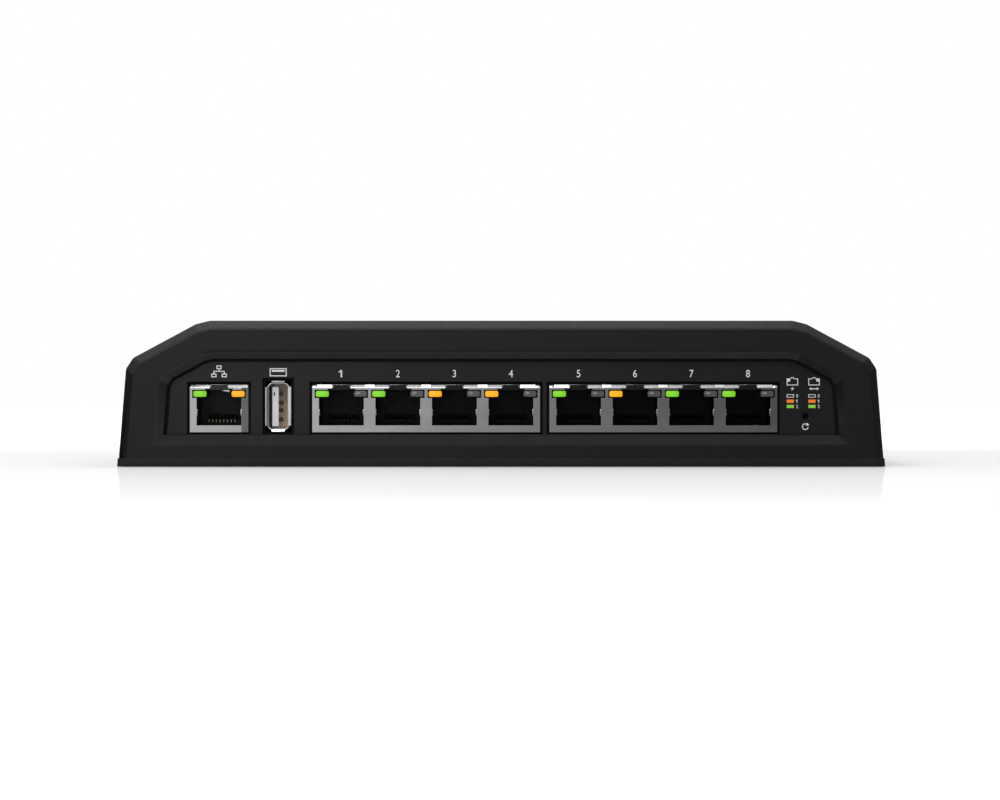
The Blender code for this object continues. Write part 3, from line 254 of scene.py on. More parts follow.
# Outlines of signs: a figure one in shares of its height, the others in line widths
ONE = ((-0.10, 0.0), (0.10, 0.0), (0.10, 1.0), (-0.05, 1.0), (-0.36, 0.792), (-0.36, 0.597), (-0.10, 0.753))
BOLT = ((1.0, 2.2), (-2.0, -0.3), (0.0, -0.3), (-1.0, -2.2), (2.0, 0.3), (0.0, 0.3))
ARROW_HEAD = ((5.0, 0.0), (3.0, 1.6), (3.0, -1.6))
RESET_HEAD = ((3.0, 0.0), (0.0, 1.7), (0.0, -1.7))
SOCKET_INSET = 2.2
KEY_LINE = 0.8
CHIP_LINE = 0.6

# Lamps of the studio: their places and sizes
TOP_LAMP = (-0.22, 0.12, 1.40)
TOP_LAMP_SIZE = 0.9
FRONT_LAMP = (-0.35, -1.00, 1.10)
FRONT_LAMP_SIZE = 0.8

# Floor: where its own white starts and is full, and how its mirror share falls with the distance
FLOOR_GREY = (0.85, 0.85, 0.85, 1.0)
FLOOR_REACH = 6.0
FLOOR_CENTRE = (0.0, -0.15, 0.0)
FLOOR_HALF = (0.25, 0.28, 0.0)
FLOOR_FADE = 0.25
FLOOR_DROP = 0.00002
SHEEN_REACH = 0.318
SHEEN = ((0.0, 0.62), (0.045, 0.31), (0.12, 0.29), (0.31, 0.245), (0.63, 0.175), (1.0, 0.0))
SHEEN_FALL = 6.0

# Studio screen: its reach, and the brightness along it by the angle in degrees from straight ahead
SCREEN_RADIUS = 0.20
SCREEN_HEIGHT = 0.10
SCREEN_SPAN = math.radians(100)
SCREEN_STEPS = 64
SCREEN_SHEET = (
    (-100, 0.08), (-78, 0.12), (-64, 0.62), (-45, 0.80), (-28, 0.78), (-17, 0.76), (3, 0.36), (14, 0.21),
    (26, 0.12), (100, 0.05))
CLOTH_LIFT = 0.0002
CLOTH_TOP = 0.004
CLOTH_LEVEL = 0.24

class SwitchSizes(bpy.types.PropertyGroup):
    """Sizes of eased edges, prints and small forms"""

    hood_edge: FloatProperty(
        name="Hood edge", description="Easing of the hood's moulded edges",
        default=0.0005, min=0.0, unit="LENGTH")
    tray_edge: FloatProperty(
        name="Tray edge", description="Easing of the base tray's edges",
        default=0.00025, min=0.0, unit="LENGTH")
    panel_edge: FloatProperty(
        name="Panel edge", description="Easing of the cut-outs in the port panel and the rear panel",
        default=0.00015, min=0.0, unit="LENGTH")
    sheet_edge: FloatProperty(
        name="Sheet edge", description="Rounding of the stamped sheet metal",
        default=0.0001, min=0.0, unit="LENGTH")
    sheet_fold: FloatProperty(
        name="Sheet fold", description="Rounding of the bends between a shield's front and top",
        default=0.0002, min=0.0, unit="LENGTH")
    lens_corner: FloatProperty(
        name="Lens corner", description="Corner radius of a light pipe's face",
        default=0.00042, min=0.0, unit="LENGTH")
    lens_crown: FloatProperty(
        name="Lens crown", description="Rounding of a light pipe's front edge",
        default=0.00018, min=0.0, unit="LENGTH")
    ink: FloatProperty(
        name="Ink", description="Thickness of the printed marks",
        default=0.00003, min=0.0, unit="LENGTH")
    number_height: FloatProperty(
        name="Number height", description="Height of the printed port numbers",
        default=0.0020, min=0.0, unit="LENGTH")
    number_rise: FloatProperty(
        name="Number rise", description="Space between a jack's shield and the number above it",
        default=0.00228, min=0.0, unit="LENGTH")
    line: FloatProperty(
        name="Line", description="Line width of the printed signs",
        default=0.00026, min=0.0, unit="LENGTH")


class SwitchColours(bpy.types.PropertyGroup):
    """Colours of the finishes, as linear values"""

    moulding: FloatVectorProperty(
        name="Moulding", description="Black of the hood and the panels",
        default=(0.0075, 0.0075, 0.0078), subtype="COLOR", min=0.0, max=1.0)
    tray: FloatVectorProperty(
        name="Tray", description="Black of the base tray, a little greyer",
        default=(0.0102, 0.0100, 0.0102), subtype="COLOR", min=0.0, max=1.0)
    tin: FloatVectorProperty(
        name="Tin", description="Tinned sheet of the jack shields",
        default=(0.50, 0.50, 0.51), subtype="COLOR", min=0.0, max=1.0)
    green: FloatVectorProperty(
        name="Green light", description="Glow of a green light pipe",
        default=(0.175, 0.54, 0.016), subtype="COLOR", min=0.0, max=1.0)
    amber: FloatVectorProperty(
        name="Amber light", description="Glow of an amber light pipe",
        default=(0.93, 0.38, 0.005), subtype="COLOR", min=0.0, max=1.0)
    white_ink: FloatVectorProperty(
        name="White ink", description="Ink of the numbers and signs",
        default=(0.62, 0.62, 0.62), subtype="COLOR", min=0.0, max=1.0)
    orange_ink: FloatVectorProperty(
        name="Orange ink", description="Ink of the upper colour chips",
        default=(0.86, 0.19, 0.015), subtype="COLOR", min=0.0, max=1.0)
    green_ink: FloatVectorProperty(
        name="Green ink", description="Ink of the lower colour chips",
        default=(0.24, 0.56, 0.05), subtype="COLOR", min=0.0, max=1.0)
    laminate: FloatVectorProperty(
        name="Laminate", description="Solder mask of the boards",
        default=(0.0075, 0.0085, 0.0080), subtype="COLOR", min=0.0, max=1.0)


class SwitchStage(bpy.types.PropertyGroup):
    """Camera and studio light"""

    distance: FloatProperty(
        name="Camera distance", description="From the lens to the hood's front face",
        default=0.7461, min=0.1, unit="LENGTH")
    height: FloatProperty(
        name="Camera height", description="Height of the lens over the floor",
        default=0.0179, min=0.001, unit="LENGTH")
    aside: FloatProperty(
        name="Camera aside", description="Sideways place of the lens",
        default=-0.00031, unit="LENGTH")
    lens: FloatProperty(
        name="Lens", description="Focal length in millimetres",
        default=100.0, min=10.0, unit="CAMERA")
    key: FloatProperty(
        name="Key light", description="Power of the large lamp above on the left, in watts",
        default=6.5, min=0.0, unit="POWER")
    fill: FloatProperty(
        name="Fill light", description="Strength of the soft light from all round",
        default=0.65, min=0.0)
    front: FloatProperty(
        name="Front light", description="Power of the soft lamp in front and above",
        default=9.0, min=0.0, unit="POWER")
    floor_glow: FloatProperty(
        name="Floor glow", description="What the lit floor lacks to be white in the picture",
        default=0.60, min=0.0)


def toned(kind, tones, **recipe):
    """One recipe for each tone of a surface."""
    return {f"{kind}_{tone}": dict(recipe, base=base) for tone, base in tones.items()}


# Recipes of the finishes, as mixed() reads them
SURFACES = {
    # Hood and tray, from a spark-eroded tool
    **toned(
        "spark_eroded", dict(moulding="moulding", tray="tray"), spread=0.06, clouds=(55.0, 4.0),
        haze=(900.0, 3.0), rough=(0.46, 0.54), grain=(2600.0, 3.0), relief=(0.20, 0.00006),
        Specular_IOR_Level=0.24),
    # Sloped frame of the window, where the tool is stippled, less glossy, in lit and shaded copies that are
    # painted light and shade: lighter on the inner slopes, lighter still where they face down, darker where
    # faces look left
    **toned(
        "bezel", dict(
            lower=(0.0150, 0.0150, 0.01545), upper=(0.0270, 0.0270, 0.02781), side=(0.0060, 0.0060, 0.00618)),
        spread=0.08, clouds=(90.0, 4.0), haze=(900.0, 3.0), rough=(0.55, 0.65), grain=(2600.0, 3.0),
        relief=(0.20, 0.00006), Specular_IOR_Level=0.10),
    # Port panel and rear panel, from a smoother tool
    "satin_black": dict(
        base="moulding", spread=0.12, clouds=(70.0, 4.0), haze=(600.0, 3.0), rough=(0.40, 0.50),
        grain=(3600.0, 2.0), relief=(0.10, 0.00004), Specular_IOR_Level=0.31),
    # Glass-filled plastic of the jack inserts and the mains inlet
    **toned(
        "jack", dict(black=(0.0060, 0.0060, 0.0063), grey=(0.0220, 0.0217, 0.0212)), spread=0.25,
        clouds=(300.0, 4.0), haze=(900.0, 3.0), rough=(0.36, 0.52), grain=(1500.0, 4.0, (1.0, 0.3, 1.0)),
        relief=(0.14, 0.00006), Specular_IOR_Level=0.22),
    # Rolled and tinned shield sheet, with faint rolling lines and smudges
    "tinned_sheet": dict(
        base="tin", spread=0.09, clouds=(160.0, 5.0, (0.35, 1.0, 1.0)), haze=(240.0, 4.0), rough=(0.14, 0.20),
        grain=(900.0, 1.0, (0.05, 1.0, 1.0)), relief=(0.04, 0.00002), Metallic=1.0),
    # Bright plated steel of the USB shell and the inlet pins
    "nickel": dict(
        base=(0.80, 0.78, 0.75), spread=0.06, clouds=(220.0, 4.0), haze=(500.0, 3.0), rough=(0.18, 0.26),
        grain=(2400.0, 2.0, (1.0, 0.05, 1.0)), relief=(0.08, 0.00003), Metallic=1.0),
    # Gold flash on the contacts, duller where plugs have rubbed; its copies are darkened as painted shade by
    # the jack they sit in: greyer in the single jack, nearly black in the banks, brown in the USB socket
    **toned(
        "gold", dict(grey=(0.29, 0.24, 0.20), black=(0.030, 0.026, 0.022), usb=(0.12, 0.075, 0.045)),
        spread=0.20, clouds=(700.0, 3.0), haze=(1300.0, 2.0), rough=(0.20, 0.34),
        grain=(5200.0, 2.0, (1.0, 0.08, 1.0)), relief=(0.08, 0.00002), Metallic=1.0),
    # Zinc-plated screw steel with turning marks
    "zinc_screw": dict(
        base=(0.42, 0.42, 0.44), spread=0.12, clouds=(500.0, 3.0), haze=(1100.0, 3.0), rough=(0.26, 0.42),
        grain=(2600.0, 2.0, (1.0, 1.0, 0.1)), relief=(0.12, 0.00003), Metallic=1.0),
    # Matt foot rubber with a dusty bloom
    "rubber": dict(
        base=(0.014, 0.014, 0.0145), spread=0.30, clouds=(260.0, 5.0), haze=(700.0, 3.0), rough=(0.74, 0.92),
        grain=(2200.0,), relief=(0.20, 0.00008), Specular_IOR_Level=0.22),
    # Black foam of the seals, which hardly shines; the painted shadow strip round the window is made of it
    # too
    "foam_and_painted_shadow": dict(
        base=(0.0050, 0.0050, 0.0052), spread=0.35, clouds=(900.0, 4.0), haze=(1800.0, 3.0),
        rough=(0.80, 0.95), grain=(2600.0,), relief=(0.30, 0.00008), Specular_IOR_Level=0.09),
    # Pad-printed ink, a little thin in places
    **{ink: dict(
        base=ink, spread=0.07, clouds=(2200.0, 3.0), haze=(1500.0, 2.0), rough=(0.50, 0.66),
        Specular_IOR_Level=0.3) for ink in ("white_ink", "orange_ink", "green_ink")},
    # White moulding of the USB tongue, and behind it the same moulding made browner and darker as painted
    # shade deep in the socket
    **toned(
        "usb", dict(
            tongue=((0.54, 0.54, 0.56), (0.62, 0.62, 0.63)), back=((0.47, 0.36, 0.27), (0.58, 0.46, 0.36))),
        clouds=(260.0, 4.0), haze=(800.0, 2.0), rough=(0.36, 0.48), grain=(1800.0, 2.0),
        relief=(0.06, 0.00004), Specular_IOR_Level=0.4),
    # Moulded chip body with a fine filler grain
    "chip_epoxy": dict(
        base=(0.014, 0.014, 0.015), spread=0.22, clouds=(900.0, 4.0), haze=(1600.0, 2.0), rough=(0.44, 0.60),
        grain=(3800.0,), relief=(0.14, 0.00004), Specular_IOR_Level=0.35),
    # Anodised extrusion with drawing lines along the fins
    "black_anodised": dict(
        base=(0.030, 0.030, 0.032), spread=0.20, clouds=(300.0, 3.0, (1.0, 0.1, 1.0)),
        haze=(900.0, 2.0, (1.0, 0.05, 1.0)), rough=(0.34, 0.48), grain=(2600.0, 2.0, (1.0, 0.03, 1.0)),
        relief=(0.12, 0.00003), Metallic=0.85),
    # Sintered core with a grey, slightly pitted skin
    "ferrite": dict(
        base=(0.042, 0.042, 0.046), spread=0.30, clouds=(1400.0,), ends=(0.1, 0.6), haze=(700.0, 3.0),
        rough=(0.48, 0.66), grain=(2600.0,), relief=(0.18, 0.00006), Specular_IOR_Level=0.35),
    # Shrink sleeve of a capacitor, dark blue with faint draw lines
    "shrink_sleeve": dict(
        base=(0.012, 0.017, 0.055), spread=0.25, clouds=(240.0, 3.0, (1.0, 1.0, 0.2)), haze=(600.0, 2.0),
        rough=(0.26, 0.38), grain=(900.0, 2.0, (1.0, 1.0, 0.15)), relief=(0.08, 0.00006),
        Specular_IOR_Level=0.5),
    # Soft black sheath and headers of the harness
    "cable_sheath": dict(
        base=(0.016, 0.016, 0.016), spread=0.22, clouds=(400.0, 3.0), haze=(900.0, 2.0), rough=(0.48, 0.64),
        grain=(1500.0, 2.0), relief=(0.10, 0.00005), Specular_IOR_Level=0.35),
}


class Nodes:
    """Short calls for the nodes of a tree."""

    def __init__(self, tree):
        self.tree = tree

    def wire(self, node, inputs):
        """Sets a node's inputs to plain values, or links them to the outputs of other nodes."""
        for key, value in inputs.items():
            if isinstance(value, bpy.types.NodeSocket):
                self.tree.links.new(value, node.inputs[key])
            else:
                node.inputs[key].default_value = value

    def add(self, kind, inputs, output=0, **settings):
        """Adds a node; one of its outputs."""
        node = self.tree.nodes.new(f"ShaderNode{kind}")
        for name, value in settings.items():
            setattr(node, name, value)
        self.wire(node, inputs)
        return node.outputs[output]

    def math(self, operation, first, second):
        """One operation on two values."""
        return self.add("Math", {0: first, 1: second}, operation=operation)

    def span(self, value, low, high, start=0.3, end=0.7):
        """Value carried over to another range."""
        return self.add("MapRange", {
            "Value": value, "From Min": start, "From Max": end, "To Min": low, "To Max": high})

    def seen_rays(self):
        """One for rays that are seen: from the camera, in gloss or through glass."""
        path = self.add("LightPath", {}).node.outputs
        seen = path["Is Camera Ray"]
        for name in ("Is Glossy Ray", "Is Transmission Ray"):
            seen = self.math("MAXIMUM", seen, path[name])
        return seen


class Finish(Nodes):
    """One procedural material, with short calls for what it is made of."""

    def __init__(self, name, **sockets):
        self.material = bpy.data.materials.new(name)
        self.material.use_nodes = True
        super().__init__(self.material.node_tree)
        self.shader = self.tree.nodes["Principled BSDF"]
        self.wire(self.shader, {key.replace("_", " "): value for key, value in sockets.items()})

    def place(self, stretch=(1.0, 1.0, 1.0)):
        """Object coordinates, stretched along the axes."""
        return self.add("Mapping", {"Vector": self.add("TexCoord", {}, "Object"), "Scale": stretch})

    def pattern(self, scale, detail=None, *stretch):
        """Clouds about one over the scale wide, or pits where no detail is given."""
        inputs = {"Vector": self.place(*stretch), "Scale": scale}
        if detail is None:
            return self.add("TexVoronoi", inputs)
        return self.add("TexNoise", {**inputs, "Detail": detail})

    def ramp(self, value, stops):
        """Colours along a value, as (position, colour) stops."""
        shade = self.add("ValToRGB", {"Fac": value})
        elements = shade.node.color_ramp.elements
        while len(elements) < len(stops):
            elements.new(0.5)
        for element, (position, colour) in zip(elements, stops):
            element.position = position
            element.color = (*colour, 1.0)
        return shade

    def colour(self, value, dark, light, start=0.3, end=0.7):
        self.wire(self.shader, {"Base Color": self.ramp(value, [(start, dark), (end, light)])})

    def rough(self, value, low, high):
        self.wire(self.shader, {"Roughness": self.span(value, low, high)})

    def bump(self, height, strength, depth):
        bump = self.add("Bump", {"Height": height, "Strength": strength, "Distance": depth})
        self.wire(self.shader, {"Normal": bump})

    def show(self, surface):
        self.wire(self.tree.nodes["Material Output"], {"Surface": surface})


def strayed(base, spread):
    """Darker and lighter ends of a colour."""
    return [[c * (1 + way * spread) for c in base] for way in (-1, 1)]


def user_colour(name):
    """Colour that a user may change."""
    return Vector(getattr(bpy.context.scene.switch_colours, name))


def mixed(name, base, clouds, haze, rough, spread=None, ends=(), grain=None, relief=None, **sockets):
    """Material from a recipe: its colour strays along clouds, its gloss along haze, and grain gives relief.

    Clouds, haze and grain are a scale, a detail and a stretch, or a scale alone for pits.
    Relief is a strength and a depth.
    A base is a colour, a user's colour by name or, with no spread, a dark and a light end.
    """
    finish = Finish(name, **sockets)
    base = user_colour(base) if isinstance(base, str) else base
    dark, light = strayed(base, spread) if spread else base
    finish.colour(finish.pattern(*clouds), dark, light, *ends)
    finish.rough(finish.pattern(*haze), *rough)
    if grain:
        finish.bump(finish.pattern(*grain), *relief)
    return finish.material


@cache
def surface(name):
    """Finish by its name, made on the first call."""
    return mixed(name, **SURFACES[name])


@cache
def glowing_lens(colour):
    """Lit light pipe: brightest where the diode sits behind it, deeper towards the rim, with its sides unlit
    and darker as painted shade.
    """
    glow = user_colour(colour)
    core = [min(1.0, c * LENS_CORE + LENS_CORE_LIFT) for c in glow]
    finish = Finish(f"{colour}_lens", Roughness=0.22, Specular_IOR_Level=0.4)
    stops = list(zip(LENS_STOPS, (core, glow, glow * LENS_RIM)))
    shade = finish.ramp(lens_radius(finish, LIT_SPOT), stops)
    front = at_the_front(finish)
    finish.wire(finish.shader, {"Emission Color": shade, "Emission Strength": front})
    # Body darker behind the front: painted shade on the pipe's sides
    finish.colour(front, *strayed(glow * LENS_BODY, LENS_SIDE_SHADE), start=0.1, end=0.9)
    return finish.material


@cache
def clear_lens():
    """Unlit light pipe: smoky clear plastic with the diode's cup showing at one end."""
    finish = Finish("clear_lens", Roughness=0.16, Specular_IOR_Level=0.5, Coat_Weight=0.4, Coat_Roughness=0.1)
    stops = [(position, (grey, grey, blue)) for position, grey, blue in CLEAR_CUP]
    finish.wire(finish.shader, {"Base Color": finish.ramp(lens_radius(finish, CLEAR_SPOT), stops)})
    finish.bump(finish.pattern(scale=1200.0, detail=2.0), strength=0.06, depth=0.00005)
    return finish.material


def at_the_front(finish):
    """One at a light pipe's front, and nothing a little way back, where its sides are left unlit and darker
    as painted shade.
    """
    depth = finish.add("SeparateXYZ", {"Vector": finish.place()}, "Y")
    return finish.span(depth, 1.0, 0.0, PIPE_FACE + LENS_FRONT, PIPE_FACE + 2 * LENS_FRONT)


def lens_radius(finish, spot):
    """Distance over a lens face from a spot on its middle line, in the lens's own coordinates."""
    face = finish.add("TexCoord", {}, "UV")
    away = finish.add("Mapping", {"Vector": face, "Location": spot, "Scale": LENS_FLAT})
    return finish.add("VectorMath", {0: away}, "Value", operation="LENGTH")


@cache
def solder_mask():
    """Board with traces under its mask: straight runs in two tones."""
    finish = Finish("solder_mask", Specular_IOR_Level=0.45, Coat_Weight=0.3, Coat_Roughness=0.2)
    base = user_colour("laminate")
    tones = {"Color1": base, "Color2": base * TRACE_DARK, "Mortar": base * TRACE_EDGE}
    inputs = {"Vector": finish.place(), "Scale": 210.0, "Mortar Size": 0.035}
    inputs.update((name, (*tone, 1.0)) for name, tone in tones.items())
    traces = finish.add("TexBrick", inputs, offset=0.37, squash=0.6)
    finish.wire(finish.shader, {"Base Color": traces})
    finish.rough(finish.pattern(scale=500.0, detail=3.0), low=0.34, high=0.46)
    finish.bump(traces.node.outputs["Fac"], strength=0.25, depth=0.00004)
    return finish.material


@cache
def enamelled_copper():
    """Enamelled wire laid in even turns."""
    finish = Finish("enamelled_copper", Metallic=0.8, Coat_Weight=0.5, Coat_Roughness=0.15)
    turns = finish.add(
        "TexWave", {"Vector": finish.place(), "Scale": 620.0, "Distortion": 0.4}, "Fac", wave_type="BANDS",
        bands_direction="Z")
    finish.colour(turns, *strayed(base=(0.42, 0.17, 0.045), spread=0.35), start=0.1, end=0.9)
    finish.rough(finish.pattern(scale=500.0, detail=2.0), low=0.30, high=0.42)
    finish.bump(turns, strength=0.45, depth=0.00015)
    return finish.material


def middle_of(node):
    """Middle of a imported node's box."""
    low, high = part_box(node)
    return (low + high) / 2


def port_centre(light):
    """Middle of a port, from the light pipes on its two sides."""
    return (middle_of(f"{light}_left").x + middle_of(f"{light}_right").x) / 2


def add_object(name, bm, finish):
    """Object in the scene from a bmesh."""
    mesh = bpy.data.meshes.new(name)
    bm.to_mesh(mesh)
    bm.free()
    mesh.materials.append(finish)
    obj = bpy.data.objects.new(name, mesh)
    bpy.context.scene.collection.objects.link(obj)
    return obj


def piece(name, bm, finish, slot, *nodes):
    """New piece of the case from a bmesh, with its crisp edges kept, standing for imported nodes."""
    obj = add_object(name, bm, finish)
    obj.data.shade_smooth()
    obj.data.set_sharp_from_angle(angle=SMOOTH_ANGLE)
    obj.modifiers.new("Even shading", "WEIGHTED_NORMAL").keep_sharp = True
    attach(obj, "case")
    if nodes:
        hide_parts(*nodes)
    return obj


def dress(node, finish):
    """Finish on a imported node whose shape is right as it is."""
    materials = NODES[node].data.materials
    if not materials:
        materials.append(finish)
    for i in range(len(materials)):
        materials[i] = finish


def copied(node):
    """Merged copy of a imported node's mesh, its flat facets joined."""
    bm = bmesh.new()
    bm.from_mesh(NODES[node].data)
    bmesh.ops.remove_doubles(bm, verts=bm.verts, dist=WELD)
    bmesh.ops.dissolve_limit(bm, angle_limit=FLAT_ANGLE, verts=bm.verts, edges=bm.edges)
    return bm


def ease(bm, edges, radius, segments=2, clamp=True):
    """Rounds edges off."""
    if not edges:
        raise RuntimeError("no edges to ease")
    bmesh.ops.bevel(
        bm, geom=edges, offset=radius, offset_type="OFFSET", affect="EDGES", segments=segments,
        profile=0.5, material=-1, clamp_overlap=clamp)


def crisp_edges(bm, shortest, angle=CRISP, where=None):
    """Edges between faces at an angle, at least so long, that also pass a test where one is given."""
    edges = []
    for edge in bm.edges:
        if not edge.is_manifold or edge.calc_length() < shortest:
            continue
        middle = (edge.verts[0].co + edge.verts[1].co) / 2
        if edge.calc_face_angle() > math.radians(angle) and (where is None or where(edge, middle)):
            edges.append(edge)
    return edges


def shift(bm, verts, x=0.0, y=0.0, z=0.0):
    """Moves vertices."""
    bmesh.ops.translate(bm, verts=verts, vec=(x, y, z))


def face_outwards(bm):
    """Turns every face outwards."""
    bmesh.ops.recalc_face_normals(bm, faces=bm.faces)


def made_verts(result):
    """Vertices that an operator made."""
    return [item for item in result["geom"] if isinstance(item, bmesh.types.BMVert)]


def thicken(bm, **depth):
    """Gives flat faces a thickness along an axis; the vertices on the new side."""
    verts = made_verts(bmesh.ops.extrude_face_region(bm, geom=list(bm.faces), use_keep_orig=True))
    shift(bm, verts, **depth)
    face_outwards(bm)
    return verts


def pull(bm, face, vec):
    """Extrudes a face by a vector; the new face."""
    grown = bmesh.ops.extrude_face_region(bm, geom=[face, *face.edges])
    bmesh.ops.translate(bm, verts=made_verts(grown), vec=vec)
    return next(item for item in grown["geom"] if isinstance(item, bmesh.types.BMFace))


def edges_between(verts):
    """Edges whose two ends are both among some vertices."""
    chosen = set(verts)
    return list({edge for vert in verts for edge in vert.link_edges if edge.other_vert(vert) in chosen})


def add_block(bm, low, high):
    """Box between two corners; its vertices."""
    low, high = Vector(low), Vector(high)
    matrix = Matrix.Translation((low + high) / 2) @ Matrix.Diagonal((*(high - low), 1.0))
    return bmesh.ops.create_cube(bm, size=1.0, matrix=matrix)["verts"]


def add_bar(bm, low, high, radius, segments=2):
    """Box between two corners with rounded edges."""
    ease(bm, edges_between(add_block(bm, low, high)), radius, segments)


def border(node, keep, width):
    """Flat strip along the inside of the outline that a node's kept vertices give."""
    bm = copied(node)
    bmesh.ops.delete(bm, geom=[v for v in bm.verts if not keep(v.co)], context="VERTS")
    face = bmesh.ops.contextual_create(bm, geom=[*bm.verts, *bm.edges])["faces"][0]
    bmesh.ops.inset_region(bm, faces=[face], thickness=width, use_boundary=True, use_even_offset=True)
    bmesh.ops.delete(bm, geom=[face], context="FACES")
    return bm


def gasket(name, node, more=0.0):
    """Foam strips between a socket's shell and the edge of its opening in the panel."""
    low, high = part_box(node)
    gap = CUTOUT_GAP
    near, far = PANEL_FACE + GASKET_SUNK, PANEL_BACK
    left, right = low.x - gap, high.x + gap
    bm = bmesh.new()
    for corners in (
        ((left, near + more, high.z), (right, far, high.z + gap + more)),
        ((left, near, low.z - gap), (right, far, low.z)),
        ((left, near, low.z), (low.x, far, high.z)),
        ((high.x, near, low.z), (right, far, high.z)),
    ):
        add_bar(bm, *corners, gap / 6)
    piece(name, bm, surface("foam_and_painted_shadow"), "black_rubber")


class SWITCH_OT_housing(bpy.types.Operator):
    """Hood, tray, port panel and rear panel with the eased edges of moulded plastic"""

    bl_idname = "switch.housing"
    bl_label = "Housing"

    def execute(self, context):
        sizes = context.scene.switch_sizes
        bm = copied("top_shell")
        self.raise_sill(bm)
        bm.normal_update()
        for face in bm.faces:
            face.material_index = self.frame_side(face)
        skin = crisp_edges(bm, HOOD_SHORT, HOOD_CRISP, self.on_the_skin)
        ease(bm, skin, sizes.hood_edge, segments=3, clamp=False)
        shift(bm, [v for v in bm.verts if v.co.z < HOOD_BOTTOM + WELD], z=PARTING - GAP)
        hood = piece("hood", bm, surface("spark_eroded_moulding"), "black_moulding", "top_shell")
        # Painted light and shade: the frame's finish in lit and shaded copies, one for each way its sloped
        # faces look
        for side in ("lower", "upper", "side"):
            hood.data.materials.append(surface(f"bezel_{side}"))

        bm = copied("base_tray")
        outside = crisp_edges(bm, HOOD_SHORT, CRISP, lambda edge, middle: middle.z <= HOOD_BOTTOM)
        ease(bm, outside, sizes.tray_edge)
        piece("tray", bm, surface("spark_eroded_tray"), "black_moulding", "base_tray")

        for node in ("port_panel", "rear_panel"):
            bm = copied(node)
            tops = [v for v in bm.verts if abs(v.co.z - JACK_TOP - CUTOUT_GAP) < GAP and v.co.y < 0.0]
            shift(bm, tops, z=CUTOUT_RAISE)
            ease(bm, crisp_edges(bm, PANEL_SHORT), sizes.panel_edge)
            piece(f"{node}_plate", bm, surface("satin_black"), "black_moulding", node)
        self.window_seal()
        self.tray_rim()
        return {"FINISHED"}

    def raise_sill(self, bm):
        """Brings the lower side of the window's frame up, close under the jacks."""
        sill = min(v.co.z for v in bm.verts if abs(v.co.y - WINDOW_EDGE) < WELD)
        inner = [v for v in bm.verts if abs(v.co.z - sill) < WELD and v.co.y < PANEL_FACE]
        outer = [v for v in bm.verts if abs(v.co.y - FRONT) < WELD and HOOD_BOTTOM + GAP < v.co.z < sill]
        shift(bm, inner, z=SILL_RAISE)
        shift(bm, outer, z=FRAME_RAISE)

    def frame_side(self, face):
        """Place in the hood's finishes: 0 for the skin, above that for sloped faces at the front, by which
        way they look: painted light on the inner slopes, more where they face down, and painted shade where
        they look left.
        """
        spot = face.calc_center_median()
        normal = face.normal
        if not (FRONT + WELD < spot.y < WINDOW_EDGE and SLOPE_LEAST < -normal.y < SLOPE_MOST):
            return 0
        inward = normal.x * spot.x + normal.z * (spot.z - (JACK_BOTTOM + JACK_TOP) / 2) < 0.0
        if inward and normal.z < -SLOPE_ASIDE:
            return 2 if normal.x > -CORNER_ASIDE else 1
        if abs(normal.z) < SLOPE_ASIDE and normal.x < -SLOPE_ASIDE:
            return 3
        return int(inward)

    def on_the_skin(self, edge, middle):
        """Edges of the hood's outside and of the sill, apart from the parting line at the bottom."""
        along = abs(edge.verts[0].co.y - edge.verts[1].co.y) > HOOD_RUN
        at_an_end = min(middle.y - FRONT, REAR - middle.y) < HOOD_SKIN
        at_the_sill = abs(middle.y - WINDOW_EDGE) < WELD and middle.z < JACK_BOTTOM
        over_parting = max(v.co.z for v in edge.verts) > HOOD_BOTTOM + WELD
        return edge.calc_face_angle_signed() > 0.0 and (along or at_an_end or at_the_sill) and over_parting

    def window_seal(self):
        """Near-black strip in the corner between the window's edge and the panel, at the sides and the top:
        painted shadow of the window's edge.
        """
        bm = border("top_shell", lambda spot: abs(spot.y - WINDOW_EDGE) <= WELD, SHADOW_STRIP_WIDTH)
        shift(bm, bm.verts, y=PANEL_FACE - WINDOW_EDGE)
        low = min(v.co.z for v in bm.verts)
        sill = [f for f in bm.faces if max(v.co.z for v in f.verts) < low + 2 * SHADOW_STRIP_WIDTH]
        bmesh.ops.delete(bm, geom=sill, context="FACES")
        front = thicken(bm, y=-SHADOW_STRIP_PROUD)
        ease(bm, [e for e in crisp_edges(bm, SHADOW_STRIP_WIDTH) if all(v in front for v in e.verts)], SHADOW_STRIP_PROUD / 3)
        piece("window_seal", bm, surface("foam_and_painted_shadow"), "black_rubber")

    def tray_rim(self):
        """Low rim moulded under the edge of the tray."""
        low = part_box("base_tray")[0]
        bm = border("base_tray", lambda spot: self.on_the_outline(spot, low), RIM_WIDTH)
        shift(bm, bm.verts, z=RIM_CLEAR - low.z)
        top = thicken(bm, z=low.z - RIM_CLEAR + WELD)
        ease(bm, [e for e in crisp_edges(bm, RIM_WIDTH) if all(v not in top for v in e.verts)], RIM_CLEAR)
        piece("tray_rim", bm, surface("spark_eroded_tray"), "black_moulding")

    def on_the_outline(self, spot, low):
        """Whether a place lies on the outline of the tray's underside."""
        out = min(abs(spot.x) - abs(low.x), abs(spot.y) - abs(low.y), key=abs)
        return spot.z <= low.z + WELD and out > -WELD


